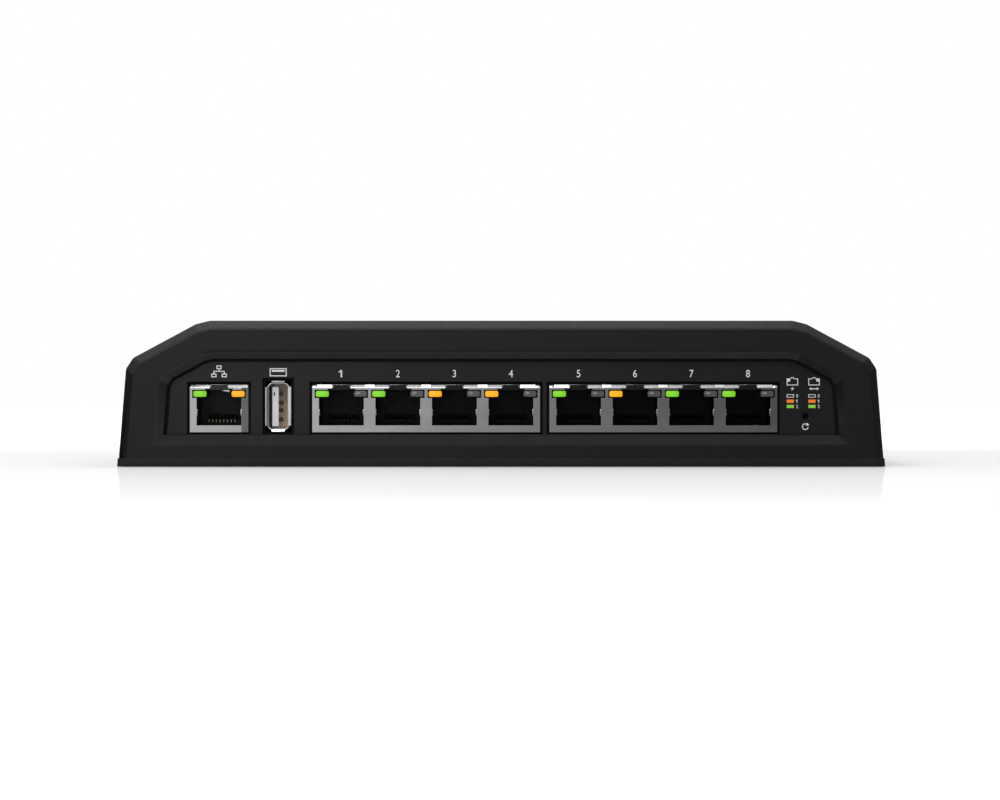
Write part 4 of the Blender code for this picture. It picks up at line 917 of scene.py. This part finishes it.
class SWITCH_OT_jacks(bpy.types.Operator):
    """Jack shields, inserts and spring contacts"""

    bl_idname = "switch.jacks"
    bl_label = "Jacks"

    def execute(self, context):
        for prefix, lights in BANKS.items():
            centres = [port_centre(light) for light in lights]
            tone = "grey" if prefix == "management_jack" else "black"
            self.shield(context.scene.switch_sizes, prefix, centres)
            dress(f"{prefix}_insert", surface(f"jack_{tone}"))
            gasket(f"{prefix}_gasket", f"{prefix}_shield", CUTOUT_RAISE)
            self.contacts(prefix, centres, tone)
            self.hem(prefix, centres)
        self.latch_finger()
        return {"FINISHED"}

    def shield(self, sizes, prefix, centres):
        """Folded sheet with stamped edges; the right wall of a single jack is bent back a little."""
        node = f"{prefix}_shield"
        low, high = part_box(node)
        bm = copied(node)
        fold = crisp_edges(bm, FOLD_SHORT, FOLD_CRISP, lambda edge, middle: self.on_fold(edge, middle, low.y))
        ease(bm, fold, sizes.sheet_fold, segments=4)
        stamped = crisp_edges(bm, SHEET_SHORT, STAMP_CRISP, lambda edge, middle: middle.y < low.y + WELD)
        ease(bm, stamped, sizes.sheet_edge)
        single = len(centres) == 1
        bend = centres[0] + OPENING_HALF
        if single:
            self.turn_wall(bm, bend, low.y, high.x)
        sheet = piece(f"{node}_sheet", bm, surface("tinned_sheet"), "tinned_sheet", node).data
        for edge in sheet.edges if single else ():
            if all(abs(sheet.vertices[i].co.x - bend) < WELD for i in edge.vertices):
                edge.use_edge_sharp = True

    def on_fold(self, edge, middle, front):
        """The two bends between a shield's front and its top."""
        level = abs(edge.verts[0].co.x - edge.verts[1].co.x) > WELD
        near = middle.z > JACK_TOP - SHEET_FOLD and middle.y < front + SHEET_FOLD
        return level and near and (middle.z > JACK_TOP - WELD or middle.y < front + WELD)

    def turn_wall(self, bm, bend, front, right):
        """Bends the right wall of a shield's front back from the opening's edge."""
        bmesh.ops.bisect_plane(
            bm, geom=[*bm.verts, *bm.edges, *bm.faces], dist=WELD, plane_co=(bend, 0.0, 0.0),
            plane_no=(1.0, 0.0, 0.0))
        for vert in bm.verts:
            out = max(0.0, (vert.co.x - bend) / (right - bend))
            near = max(0.0, 1.0 - (vert.co.y - front) / TURN_DEPTH)
            vert.co.y += WALL_TURN * out * near

    def contacts(self, prefix, centres, tone):
        """Magnetics at the back, spring wires with their comb, and the bends of the grounding springs."""
        node = f"{prefix}_contacts"
        low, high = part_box(node)
        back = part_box(f"{prefix}_insert")[1].y
        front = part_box(f"{prefix}_shield")[0].y
        block, wires, comb, bends = (bmesh.new() for _ in range(4))
        add_bar(block, (low.x, back + GAP, low.z), high, COMB_WALL / 4)
        for centre in centres:
            for i in range(CONTACTS):
                self.add_spring_wire(wires, centre + (i - (CONTACTS - 1) / 2) * CONTACT_PITCH, back)
            for i in range(CONTACTS + 1):
                self.add_tooth(comb, centre + (i - CONTACTS / 2) * CONTACT_PITCH, back)
            for wall in (centre - OPENING_HALF, centre + OPENING_HALF):
                self.add_spring_bend(bends, wall, front)
        piece(f"{prefix}_magnetics", block, surface("jack_black"), "jack_plastic", node)
        # The wires' gold is darkened by the jack they sit in: painted shade
        piece(f"{prefix}_spring_wires", wires, surface(f"gold_{tone}"), "tinned_sheet", node)
        piece(f"{prefix}_comb", comb, surface(f"jack_{tone}"), "jack_plastic")
        piece(f"{prefix}_spring_bends", bends, surface("tinned_sheet"), "tinned_sheet")

    def add_spring_wire(self, bm, x, back):
        """Round wire: level through the comb, sloping down the cavity and curled under at its tip."""
        floor = JACK_BOTTOM + FLOOR_RISE
        half = CONTACT_WIRE / 2
        wall = back - COMB_WALL
        tip = wall - CONTACT_LENGTH
        place = Vector((x, back + GAP, floor + CONTACT_HIGH))
        turn = Matrix.Translation(place) @ Matrix.Rotation(math.pi / 2, 4, "X")
        ring = bmesh.ops.create_circle(bm, cap_ends=True, radius=half, segments=WIRE_STEPS, matrix=turn)
        face = ring["verts"][0].link_faces[0]
        for y, z in (
            (wall, CONTACT_HIGH), (wall - 2 * GAP, CONTACT_HIGH - GAP / 2),
            (tip + CONTACT_WIRE, CONTACT_LOW + CONTACT_LEG - half),
        ):
            spot = Vector((x, y, floor + z))
            face = pull(bm, face, spot - place)
            place = spot
        low = floor + CONTACT_LOW
        ends = (x - half, tip, low), (x + half, tip + CONTACT_WIRE + half, low + CONTACT_LEG)
        add_bar(bm, *ends, half * CONTACT_ROUND)

    def add_tooth(self, bm, x, back):
        """Tooth of the comb that keeps the wires apart where they leave the back wall."""
        level = JACK_BOTTOM + FLOOR_RISE + CONTACT_HIGH
        half = COMB_TOOTH / 2
        near = (x - half, back - COMB_WALL - GAP, level - 2 * COMB_TOOTH)
        add_bar(bm, near, (x + half, back, level + COMB_TOOTH), COMB_TOOTH / 6)

    def add_spring_bend(self, bm, wall, front):
        """Rounded bend at the root of a grounding spring, at the side of a plug opening."""
        low = JACK_BOTTOM + BEND_LEVEL - BEND_HEIGHT / 2
        near = (wall - BEND_PROUD, front + WELD, low)
        far = (wall + BEND_PROUD, front + 2 * BEND_PROUD, low + BEND_HEIGHT)
        add_bar(bm, near, far, BEND_PROUD * BEND_ROUND, segments=3)

    def hem(self, prefix, centres):
        """Folded edge along a shield's top, steeper over the posts and thin across the latch notches."""
        low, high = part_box(f"{prefix}_shield")
        posts = [(a + b) / 2 for a, b in zip(centres, centres[1:])]
        notches = [(c - NOTCH_HALF, c + NOTCH_HALF) for c in centres]
        steep = [(p - HEM_CUT, p + HEM_CUT) for p in posts]
        if posts:
            steep += [(low.x + HEM_END, notches[0][0]), (notches[-1][1], high.x - HEM_END)]
        marks = sorted({low.x, high.x, *(x for pair in notches + steep for x in pair)})
        bm = bmesh.new()
        for left, right in zip(marks, marks[1:]):
            spot = (left + right) / 2
            lean = HEM_STEEP if any(a < spot < b for a, b in steep) else HEM_LEAN
            across_notch = any(a < spot < b for a, b in notches)
            toe = (lean, HEM_RISE - HEM_THIN) if across_notch else (0.0, -HEM_DROP)
            corners = (toe, (lean, HEM_RISE), (HEM_BACK, HEM_RISE), (HEM_BACK, HEM_RISE - HEM_THIN))
            verts = [bm.verts.new((left + HEM_SLIT, low.y + y, high.z + z)) for y, z in corners]
            pull(bm, bm.faces.new(verts), (right - left - 2 * HEM_SLIT, 0.0, 0.0))
        face_outwards(bm)
        ease(bm, crisp_edges(bm, HEM_THIN / 2), HEM_SLIT)
        piece(f"{prefix}_hem", bm, surface("tinned_sheet"), "tinned_sheet")

    def latch_finger(self):
        """Spring finger that holds the latch of a plug, on the right of the management jack's notch."""
        wall = port_centre("management_light") + NOTCH_HALF + GAP
        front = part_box("management_jack_shield")[0].y + FINGER_DEPTH
        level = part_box("management_light_right")[1].z + FINGER_OVER
        bm = bmesh.new()
        corners = ((wall - FINGER_LENGTH, 0.0), (wall, -FINGER_RISE), (wall, FINGER_RISE))
        verts = [bm.verts.new((x, front, level + z)) for x, z in corners]
        pull(bm, bm.faces.new(verts), (0.0, FINGER_RISE, 0.0))
        face_outwards(bm)
        ease(bm, crisp_edges(bm, FINGER_RISE / 2), FINGER_RISE / 5)
        piece("management_latch_finger", bm, surface("nickel"), "tinned_sheet")


class SWITCH_OT_lights(bpy.types.Operator):
    """Light pipes with rounded faces, lit or clear"""

    bl_idname = "switch.lights"
    bl_label = "Lights"

    def execute(self, context):
        sizes = context.scene.switch_sizes
        for node in (f"{light}_{side}" for lights in BANKS.values() for light in lights for side in SIDES):
            colour = LIT.get(node)
            finish = glowing_lens(colour) if colour else clear_lens()
            piece(f"{node}_pipe", self.pipe(node, sizes), finish, f"light_{colour or 'clear'}", node)
        return {"FINISHED"}

    def pipe(self, node, sizes):
        """Bar with rounded corners and a softened front edge, with a map from 0 to 1 over its front."""
        low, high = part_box(node)
        bm = bmesh.new()
        verts = add_block(bm, low, high)
        along = [e for e in edges_between(verts) if abs(e.verts[0].co.y - e.verts[1].co.y) > GAP]
        ease(bm, along, sizes.lens_corner, segments=4)
        crown = [e for e in bm.edges if all(v.co.y < low.y + WELD for v in e.verts)]
        ease(bm, crown, sizes.lens_crown, segments=3)
        layer = bm.loops.layers.uv.new("Face")
        size = high - low
        for loop in (loop for face in bm.faces for loop in face.loops):
            at = loop.vert.co - low
            loop[layer].uv = (at.x / size.x, at.z / size.z)
        return bm


class SWITCH_OT_usb(bpy.types.Operator):
    """Upright USB socket: plated shell, moulded tongue and its contacts, with painted shadows for the
    contacts' slots and for a key slot
    """

    bl_idname = "switch.usb"
    bl_label = "USB socket"

    def execute(self, context):
        bm = copied("usb_shell")
        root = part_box("usb_shell")[0].y + USB_LIP_DEPTH
        shift(bm, [v for v in bm.verts if abs(v.co.y - root) < GAP / 2], y=-USB_LIP_FLAT)
        ease(bm, crisp_edges(bm, SHEET_SHORT), context.scene.switch_sizes.sheet_edge, clamp=False)
        piece("usb_shell_sheet", bm, surface("nickel"), "tinned_sheet", "usb_shell")
        gasket("usb_gasket", "usb_shell")

        low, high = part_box("usb_tongue")
        front = high.y - USB_BACK
        side = low.x + USB_TONGUE_GAP
        face = side + USB_TONGUE
        middle = (low.z + high.z) / 2
        back, tongue, key, strips, roots_and_slot_shadows = (bmesh.new() for _ in range(5))
        add_bar(back, (low.x, front, low.z), high, GAP / 2)
        add_bar(tongue, (side, low.y, low.z + GAP), (face, front + GAP, high.z - GAP), GAP, segments=3)
        # Dark patch flush with the tongue's face where a key slot would be: painted shadow, no recess
        left, bottom = side + USB_KEY_LEFT, middle + USB_KEY_RISE - USB_KEY_HEIGHT / 2
        far = (left + USB_KEY_WIDTH, low.y + GAP, bottom + USB_KEY_HEIGHT)
        add_bar(key, (left, low.y - WELD, bottom), far, GAP / 8)
        for z in (middle + rise for rise in USB_CONTACTS):
            near = (face - GAP / 2, low.y + 2 * GAP, z - USB_CONTACT_HALF)
            add_bar(strips, near, (face + GAP, front, z + USB_CONTACT_HALF), GAP / 4)
            # Roots widened past the strips into dark squares on the back moulding: painted shadow of the
            # slots they enter
            near = (face - GAP / 2, front - GAP / 4, z - USB_ROOT_HALF)
            add_bar(roots_and_slot_shadows, near, (face + 3 * GAP, front + GAP, z + USB_ROOT_HALF), GAP / 5)
        for name, bm, finish, slot in (
            # The back moulding is darker and browner as painted shade deep in the socket
            ("back_moulding", back, "usb_back", "usb_plastic"),
            ("tongue_moulding", tongue, "usb_tongue", "usb_plastic"),
            ("key_slot_shadow", key, "jack_black", "jack_plastic"),
            ("contact_strips", strips, "gold_usb", "tinned_sheet"),
            ("contact_roots", roots_and_slot_shadows, "gold_usb", "jack_plastic"),
        ):
            piece(f"usb_{name}", bm, surface(finish), slot, "usb_tongue")
        return {"FINISHED"}


class SWITCH_OT_reset(bpy.types.Operator):
    """Reset switch behind the pinhole, and the button on its plunger, given their finishes"""

    bl_idname = "switch.reset"
    bl_label = "Reset"

    def execute(self, context):
        dress("reset_switch", surface("chip_epoxy"))
        dress("reset_button", surface("satin_black"))
        return {"FINISHED"}


class Print:
    """One colour of ink on the port panel, drawn in panel coordinates and given its thickness at the end."""

    def __init__(self):
        self.bm = bmesh.new()

    def plate(self, left, low, right, high):
        """Filled rectangle between two corners; its face."""
        across, up = abs(right - left), abs(high - low)
        matrix = Matrix.Translation(((left + right) / 2, PANEL_FACE, (low + high) / 2))
        matrix = matrix @ Matrix.Rotation(math.pi / 2, 4, "X") @ Matrix.Diagonal((across, up, 1.0, 1.0))
        verts = bmesh.ops.create_grid(self.bm, x_segments=1, y_segments=1, size=0.5, matrix=matrix)["verts"]
        return verts[0].link_faces[0]

    def frame(self, left, low, right, high, line):
        """Rectangle drawn as a line."""
        face = self.plate(left, low, right, high)
        bmesh.ops.inset_region(self.bm, faces=[face], thickness=line, use_boundary=True, use_even_offset=True)
        bmesh.ops.delete(self.bm, geom=[face], context="FACES_ONLY")

    def shape(self, points):
        """Filled polygon."""
        self.bm.faces.new([self.bm.verts.new((x, PANEL_FACE, z)) for x, z in points])

    def arc(self, centre, radius, line, start, sweep):
        """Part of a ring, swept from an angle anticlockwise as seen from the front."""
        middle = Vector((centre[0], PANEL_FACE, centre[1]))
        out = Matrix.Rotation(-start, 3, "Y") @ Vector((1.0, 0.0, 0.0))
        ends = [self.bm.verts.new(middle + out * r) for r in (radius - line / 2, radius + line / 2)]
        edge = self.bm.edges.new(ends)
        bmesh.ops.spin(
            self.bm, geom=[*ends, edge], cent=middle, axis=(0.0, -1.0, 0.0), angle=sweep, steps=ARC_STEPS)

    def number(self, text, x, low, height, narrow):
        """Plain upright figure of a height, centred on x."""
        if text == "1":
            self.shape([(x + across * height, low + up * height) for across, up in ONE])
            return
        curve = bpy.data.curves.new("figures", "FONT")
        curve.body = text
        curve.offset = NUMBER_WEIGHT
        holder = bpy.data.objects.new("figures", curve)
        mesh = bpy.data.meshes.new_from_object(holder)
        figures = bmesh.new()
        figures.from_mesh(mesh)
        bmesh.ops.remove_doubles(figures, verts=figures.verts, dist=WELD)
        across = [v.co.x for v in figures.verts]
        up = [v.co.y for v in figures.verts]
        scale = height / (max(up) - min(up))
        place = Matrix.Translation((x, PANEL_FACE, low)) @ Matrix.Rotation(math.pi / 2, 4, "X")
        place = place @ Matrix.Diagonal((scale * narrow, scale, 1.0, 1.0))
        place = place @ Matrix.Translation((-(max(across) + min(across)) / 2, -min(up), 0.0))
        bmesh.ops.transform(figures, matrix=place, verts=figures.verts)
        figures.to_mesh(mesh)
        figures.free()
        self.bm.from_mesh(mesh)
        bpy.data.objects.remove(holder)
        bpy.data.curves.remove(curve)
        bpy.data.meshes.remove(mesh)

    def lay(self, colour):
        """Thickens the ink and makes it a piece."""
        thicken(self.bm, y=-bpy.context.scene.switch_sizes.ink)
        piece(f"legend_{colour}", self.bm, surface(f"{colour}_ink"), "light_clear")


class SWITCH_OT_legend(bpy.types.Operator):
    """Port numbers and plain signs printed on the port panel"""

    bl_idname = "switch.legend"
    bl_label = "Printed legend"

    def execute(self, context):
        sizes = context.scene.switch_sizes
        line = sizes.line
        inks = {colour: Print() for colour in ("white", "orange", "green")}
        white = inks["white"]
        low = JACK_TOP + sizes.number_rise
        for i in range(1, 9):
            white.number(str(i), port_centre(f"port_{i}_light"), low, sizes.number_height, NUMBER_NARROW)
        self.network_sign(white, port_centre("management_light"), low, line)
        self.socket_sign(white, middle_of("usb_shell").x, low + line, line)
        button = middle_of("reset_button")
        self.reset_sign(white, button, line)
        for side, aside in zip((-1, 1), KEY_COLUMNS):
            self.jack_sign(white, side, button.x + aside, line)
            self.chips(inks, button.x + aside, line)
        for colour, ink in inks.items():
            ink.lay(colour)
        return {"FINISHED"}

    def network_sign(self, ink, x, low, line):
        """Small network: one box above, two below, joined by lines."""
        half, rise = BOX_WIDTH / 2, BOX_HEIGHT
        thin = line / 2
        top = low + NETWORK_HEIGHT
        bar = low + NETWORK_HEIGHT / 2
        ink.frame(x - half, top - rise, x + half, top, line)
        ink.plate(x - thin, bar + thin, x + thin, top - rise)
        ink.plate(x - NETWORK_REACH - thin, bar - thin, x + NETWORK_REACH + thin, bar + thin)
        for spot in (x - NETWORK_REACH, x + NETWORK_REACH):
            ink.plate(spot - thin, low + rise, spot + thin, bar - thin)
            ink.frame(spot - half, low, spot + half, low + rise, line)

    def socket_sign(self, ink, x, low, line):
        """Socket seen from its front: an outline with the tongue as a bar."""
        half = SOCKET_WIDTH / 2
        inner = half - SOCKET_INSET * line
        ink.frame(x - half, low, x + half, low + SOCKET_HEIGHT, line)
        ink.plate(x - inner, low + SOCKET_BAR, x + inner, low + SOCKET_BAR + 2 * line)

    def reset_sign(self, ink, button, line):
        """Arrow going round, under the pinhole."""
        centre = Vector((button.x, button.z - RESET_SIGN_DROP))
        out = Vector((math.cos(RESET_START), math.sin(RESET_START)))
        along = Vector((out.y, -out.x))
        ink.arc(centre, RESET_SIGN_RADIUS, line, RESET_START, RESET_SWEEP)
        tip = centre + out * RESET_SIGN_RADIUS
        ink.shape([tip + (along * a + out * b) * line for a, b in RESET_HEAD])

    def jack_sign(self, ink, lamp, left, line):
        """Outline of a jack with the lamp on one side marked, and below it a bolt or a double arrow."""
        low = JACK_TOP + KEY_JACK_RISE
        right, high = left + KEY_JACK_WIDTH, low + KEY_JACK_HEIGHT
        middle = (left + right) / 2
        bar, edge = line * KEY_LINE, high - KEY_JACK_STEP
        ink.plate(left, low, right, low + bar)
        for side, far in ((-1, left), (1, right)):
            near = middle + side * KEY_JACK_LATCH
            ink.plate(far, low + bar, far - side * bar, edge - bar)
            ink.plate(far, edge - bar, near, edge)
            ink.plate(near, edge, near - side * bar, high - bar)
            if side == lamp:
                ink.plate(near + side * bar, edge - KEY_JACK_LAMP, far - side * bar, edge - bar)
        ink.plate(middle - KEY_JACK_LATCH, high - bar, middle + KEY_JACK_LATCH, high)
        sign = low - KEY_SIGN_DROP
        if lamp < 0:
            ink.shape([(middle + x * line, sign + z * line) for x, z in BOLT])
            return
        ink.plate(middle - 3 * line, sign - line / 2, middle + 3 * line, sign + line / 2)
        for side in (-1, 1):
            ink.shape([(middle + side * x * line, sign + z * line) for x, z in ARROW_HEAD])

    def chips(self, inks, left, line):
        """One chip for each state of a lamp, with a number beside it."""
        right = left + KEY_CHIP_WIDTH
        for row, (colour, ink) in enumerate(inks.items()):
            bottom = JACK_TOP - KEY_CHIP_DROP - row * KEY_CHIP_PITCH
            corners = (left, bottom, right, bottom + KEY_CHIP_HEIGHT)
            if colour == "white":
                ink.frame(*corners, line * CHIP_LINE)
            else:
                ink.plate(*corners)
            inks["white"].number(str(row), right + KEY_CHIP_HEIGHT, bottom, KEY_CHIP_HEIGHT, KEY_NARROW)


def turned(profile, steps):
    """Round shape from its half profile of (radius, height) points, spun about the upright axis."""
    bm = bmesh.new()
    verts = [bm.verts.new((radius, 0.0, height)) for radius, height in profile]
    edges = [bm.edges.new(pair) for pair in zip(verts, verts[1:])]
    bmesh.ops.spin(
        bm, geom=verts + edges, cent=(0.0, 0.0, 0.0), axis=(0.0, 0.0, 1.0), angle=2 * math.pi, steps=steps,
        use_merge=True)
    bmesh.ops.remove_doubles(bm, verts=bm.verts, dist=WELD)
    return bm


class SWITCH_OT_underside(bpy.types.Operator):
    """Rubber feet and case screws"""

    bl_idname = "switch.underside"
    bl_label = "Underside"

    def execute(self, context):
        for corner in CORNERS:
            self.add_piece(f"foot_{corner}", "pad", self.foot, "rubber", "black_rubber")
        for corner in CORNERS:
            self.add_piece(f"case_screw_{corner}", "cross_head", self.screw, "zinc_screw", "screw_steel")
        return {"FINISHED"}

    def add_piece(self, node, ending, maker, finish, slot):
        """Turned piece in the place of a node."""
        low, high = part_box(node)
        middle = (low + high) / 2
        bm = maker((high.x - low.x) / 2, high.z - low.z)
        face_outwards(bm)
        shift(bm, bm.verts, middle.x, middle.y, low.z)
        piece(f"{node}_{ending}", bm, surface(finish), slot, node)

    def foot(self, radius, height):
        """Foot with a dished sole and a softened rim."""
        return turned([(across * radius, up * height) for across, up in FOOT_PROFILE], FOOT_STEPS)

    def screw(self, head, length):
        """Pan-head screw with a cross recess and a threaded shank."""
        profile = [(share * head, height) for share, height in SCREW_CROWN]
        profile += [(head, SCREW_HEAD), (SCREW_CORE, SCREW_HEAD)]
        height = SCREW_HEAD + SCREW_PITCH
        while height + SCREW_PITCH < length - SCREW_PITCH:
            profile += [(SCREW_CORE, height), (SCREW_CREST, height + SCREW_PITCH / 2)]
            height += SCREW_PITCH
        profile += [(SCREW_CORE, height), (SCREW_CORE / 2, length), (0.0, length)]
        bm = turned(profile, SCREW_STEPS)
        mouth = [edge for edge in bm.edges if edge.is_boundary]
        wide, arm = SCREW_RIM * head * CROSS_REACH, SCREW_RIM * head * CROSS_HALF
        corners = [Vector(spot) for spot in ((wide, arm, 0.0), (arm, arm, 0.0), (arm, wide, 0.0))]
        cross = []
        for quarter in range(4):
            turn = Matrix.Rotation(quarter * math.pi / 2, 3, "Z")
            cross += [bm.verts.new(turn @ spot) for spot in corners]
        ring = [bm.edges.new(pair) for pair in zip(cross, cross[1:] + cross[:1])]
        bmesh.ops.bridge_loops(bm, edges=mouth + ring)
        bottom = made_verts(bmesh.ops.extrude_edge_only(bm, edges=ring))
        bmesh.ops.scale(bm, verts=bottom, vec=(CROSS_TAPER, CROSS_TAPER, 1.0))
        shift(bm, bottom, z=SCREW_RECESS)
        bmesh.ops.holes_fill(bm, edges=[edge for edge in bm.edges if edge.is_boundary], sides=0)
        return bm


class SWITCH_OT_inlet(bpy.types.Operator):
    """Mains inlet and its pins at the rear"""

    bl_idname = "switch.inlet"
    bl_label = "Mains inlet"

    def execute(self, context):
        self.add_piece("mains_inlet", "moulding", "jack_black", "jack_plastic")
        for wire in ("line", "neutral", "earth"):
            self.add_piece(f"inlet_pin_{wire}", "blade", "nickel", "tinned_sheet")
        return {"FINISHED"}

    def add_piece(self, node, ending, finish, slot):
        """Copy of a node with rounded edges."""
        bm = copied(node)
        ease(bm, crisp_edges(bm, INLET_SHORT), GAP, segments=3)
        piece(f"{node}_{ending}", bm, surface(finish), slot, node)


class SWITCH_OT_insides(bpy.types.Operator):
    """Boards, chips, power parts and the harness"""

    bl_idname = "switch.insides"
    bl_label = "Insides"

    def execute(self, context):
        for finish, nodes in (
            (solder_mask(), ("main_board", "power_board")),
            (surface("chip_epoxy"), ("switch_chip", "processor_chip")),
            (surface("black_anodised"), ("chip_heatsink", "power_heatsink")),
            (surface("ferrite"), ("transformer_core", "line_choke")),
            (enamelled_copper(), ("transformer_winding",)),
            (surface("shrink_sleeve"), ("bulk_capacitor", "output_capacitor")),
            (surface("cable_sheath"), ("dc_harness",)),
        ):
            for node in nodes:
                dress(node, finish)
        return {"FINISHED"}


class SWITCH_OT_stage(bpy.types.Operator):
    """Camera, floor and studio light"""

    bl_idname = "switch.stage"
    bl_label = "Stage"

    def execute(self, context):
        stage = context.scene.switch_stage
        context.scene.view_settings.view_transform = "Standard"
        self.add_camera(context, stage)
        self.light_world(context, stage)
        self.add_floor(stage)
        self.add_screen()
        self.add_lamp(context, "Top", stage.key, TOP_LAMP, TOP_LAMP_SIZE)
        self.add_lamp(context, "Front", stage.front, FRONT_LAMP, FRONT_LAMP_SIZE)
        return {"FINISHED"}

    def add_camera(self, context, stage):
        data = bpy.data.cameras.new("Camera")
        data.lens = stage.lens
        camera = bpy.data.objects.new("Camera", data)
        camera.location = (stage.aside, FRONT - stage.distance, stage.height)
        camera.rotation_euler = (math.pi / 2, 0.0, 0.0)
        context.scene.collection.objects.link(camera)
        context.scene.camera = camera

    def light_world(self, context, stage):
        """Soft light from all round; white where it is seen."""
        world = bpy.data.worlds.new("Studio")
        world.use_nodes = True
        studio = Nodes(world.node_tree)
        level = studio.span(studio.seen_rays(), stage.fill, 1.0, 0.0, 1.0)
        background = world.node_tree.nodes["Background"]
        studio.wire(background, {"Color": (1.0, 1.0, 1.0, 1.0), "Strength": level})
        context.scene.world = world

    def add_lamp(self, context, name, power, place, size):
        data = bpy.data.lights.new(name, "AREA")
        data.energy = power
        data.size = size
        lamp = bpy.data.objects.new(name, data)
        lamp.location = place
        lamp.rotation_euler = (-Vector(place)).to_track_quat("-Z", "Y").to_euler()
        context.scene.collection.objects.link(lamp)

    def add_screen(self):
        """Screen round the front that only gloss sees: a bright sheet on the left, dark cloth elsewhere."""
        bm = bmesh.new()
        start = Matrix.Rotation(-SCREEN_SPAN, 3, "Z") @ Vector((0.0, -SCREEN_RADIUS, 0.0))
        ends = [bm.verts.new(start), bm.verts.new(start + Vector((0.0, 0.0, SCREEN_HEIGHT)))]
        edge = bm.edges.new(ends)
        bmesh.ops.spin(
            bm, geom=[*ends, edge], cent=(0.0, 0.0, 0.0), axis=(0.0, 0.0, 1.0), angle=2 * SCREEN_SPAN,
            steps=SCREEN_STEPS)
        bm.normal_update()
        outward = [face for face in bm.faces if face.normal.xy.dot(face.calc_center_median().xy) > 0.0]
        bmesh.ops.reverse_faces(bm, faces=outward)
        lift = Matrix.Translation((0.0, 0.0, CLOTH_LIFT))
        bmesh.ops.create_circle(bm, cap_ends=True, radius=SCREEN_RADIUS, segments=SCREEN_STEPS, matrix=lift)

        finish = Finish("studio_screen")
        spot = finish.add("SeparateXYZ", {"Vector": finish.place((1.0, -1.0, 1.0))}).node.outputs
        angle = finish.math("ARCTAN2", spot["X"], spot["Y"])
        along = finish.span(angle, 0.0, 1.0, -SCREEN_SPAN, SCREEN_SPAN)
        stops = [(0.5 + math.radians(turn) / (2 * SCREEN_SPAN), (level,) * 3) for turn, level in SCREEN_SHEET]
        level = finish.span(spot["Z"], CLOTH_LEVEL, finish.ramp(along, stops), 0.0, CLOTH_TOP)
        behind = finish.add("NewGeometry", {}, "Backfacing")
        clear = finish.math("MAXIMUM", behind, finish.add("LightPath", {}, "Is Singular Ray"))
        sheet = finish.add("Emission", {"Color": level})
        finish.show(finish.add("MixShader", {"Fac": clear, 1: sheet, 2: finish.add("BsdfTransparent", {})}))
        screen = add_object("Screen", bm, finish.material)
        screen.visible_camera = False
        screen.visible_diffuse = False
        screen.visible_shadow = False

    def add_floor(self, stage):
        """Pale floor that mirrors the object a little close by."""
        bm = bmesh.new()
        below = Matrix.Translation((0.0, 0.0, -FLOOR_DROP))
        bmesh.ops.create_grid(bm, x_segments=1, y_segments=1, size=FLOOR_REACH, matrix=below)

        finish = Finish("pale_floor", Base_Color=FLOOR_GREY, Roughness=0.9, Specular_IOR_Level=0.0)
        around = self.distance(finish, FLOOR_CENTRE, FLOOR_HALF)
        glow = finish.span(around, 0.0, stage.floor_glow, 0.0, FLOOR_FADE)
        white = finish.add("Emission", {"Color": glow, "Strength": finish.seen_rays()})
        lit = finish.add("AddShader", {0: finish.shader.outputs["BSDF"], 1: white})
        glancing = finish.math("POWER", finish.add("LayerWeight", {}, "Facing"), SHEEN_FALL)
        share = finish.math("MULTIPLY", self.sheen(finish), glancing)
        mirror = finish.add("BsdfGlossy", {"Roughness": 0.0})
        finish.show(finish.add("MixShader", {"Fac": share, 1: lit, 2: mirror}))
        add_object("Floor", bm, finish.material)

    def distance(self, finish, centre, half):
        """Distance of a place on the floor from a rectangle on it."""
        away = finish.place()
        nought = (0.0, 0.0, 0.0)
        for operation, value in (
            ("SUBTRACT", centre), ("ABSOLUTE", nought), ("SUBTRACT", half), ("MAXIMUM", nought),
        ):
            away = finish.add("VectorMath", {0: away, 1: value}, operation=operation)
        return finish.add("VectorMath", {0: away}, "Value", operation="LENGTH")

    def sheen(self, finish):
        """Share of mirror, falling with the distance from the object."""
        away = self.distance(finish, (0.0, 0.0, 0.0), (CAD_HIGH.x, CAD_HIGH.y, 0.0))
        near = finish.span(away, 0.0, 1.0, 0.0, SHEEN_REACH)
        return finish.ramp(near, [(position, (share,) * 3) for position, share in SHEEN])


GROUPS = {"switch_sizes": SwitchSizes, "switch_colours": SwitchColours, "switch_stage": SwitchStage}
STEPS = (
    SWITCH_OT_housing, SWITCH_OT_jacks, SWITCH_OT_lights, SWITCH_OT_usb, SWITCH_OT_reset, SWITCH_OT_legend,
    SWITCH_OT_underside, SWITCH_OT_inlet, SWITCH_OT_insides, SWITCH_OT_stage,
)


class SWITCH_PT_steps(bpy.types.Panel):
    """Steps that finish the switch, in order, and its settings"""

    bl_label = "Desktop switch"
    bl_idname = "SWITCH_PT_steps"
    bl_space_type = "VIEW_3D"
    bl_region_type = "UI"
    bl_category = "Switch"

    def draw(self, context):
        layout = self.layout
        for step in STEPS:
            layout.operator(step.bl_idname)
        for name in GROUPS:
            group = getattr(context.scene, name)
            box = layout.box()
            for setting in group.__annotations__:
                box.prop(group, setting)


def register():
    for name, group in GROUPS.items():
        bpy.utils.register_class(group)
        setattr(bpy.types.Scene, name, PointerProperty(type=group))
    for item in (*STEPS, SWITCH_PT_steps):
        bpy.utils.register_class(item)


def unregister():
    for item in (SWITCH_PT_steps, *reversed(STEPS)):
        bpy.utils.unregister_class(item)
    for name, group in reversed(GROUPS.items()):
        delattr(bpy.types.Scene, name)
        bpy.utils.unregister_class(group)


def main():
    register()
    for step in STEPS:
        family, name = step.bl_idname.split(".")
        getattr(getattr(bpy.ops, family), name)()


if __name__ == "__main__":
    main()
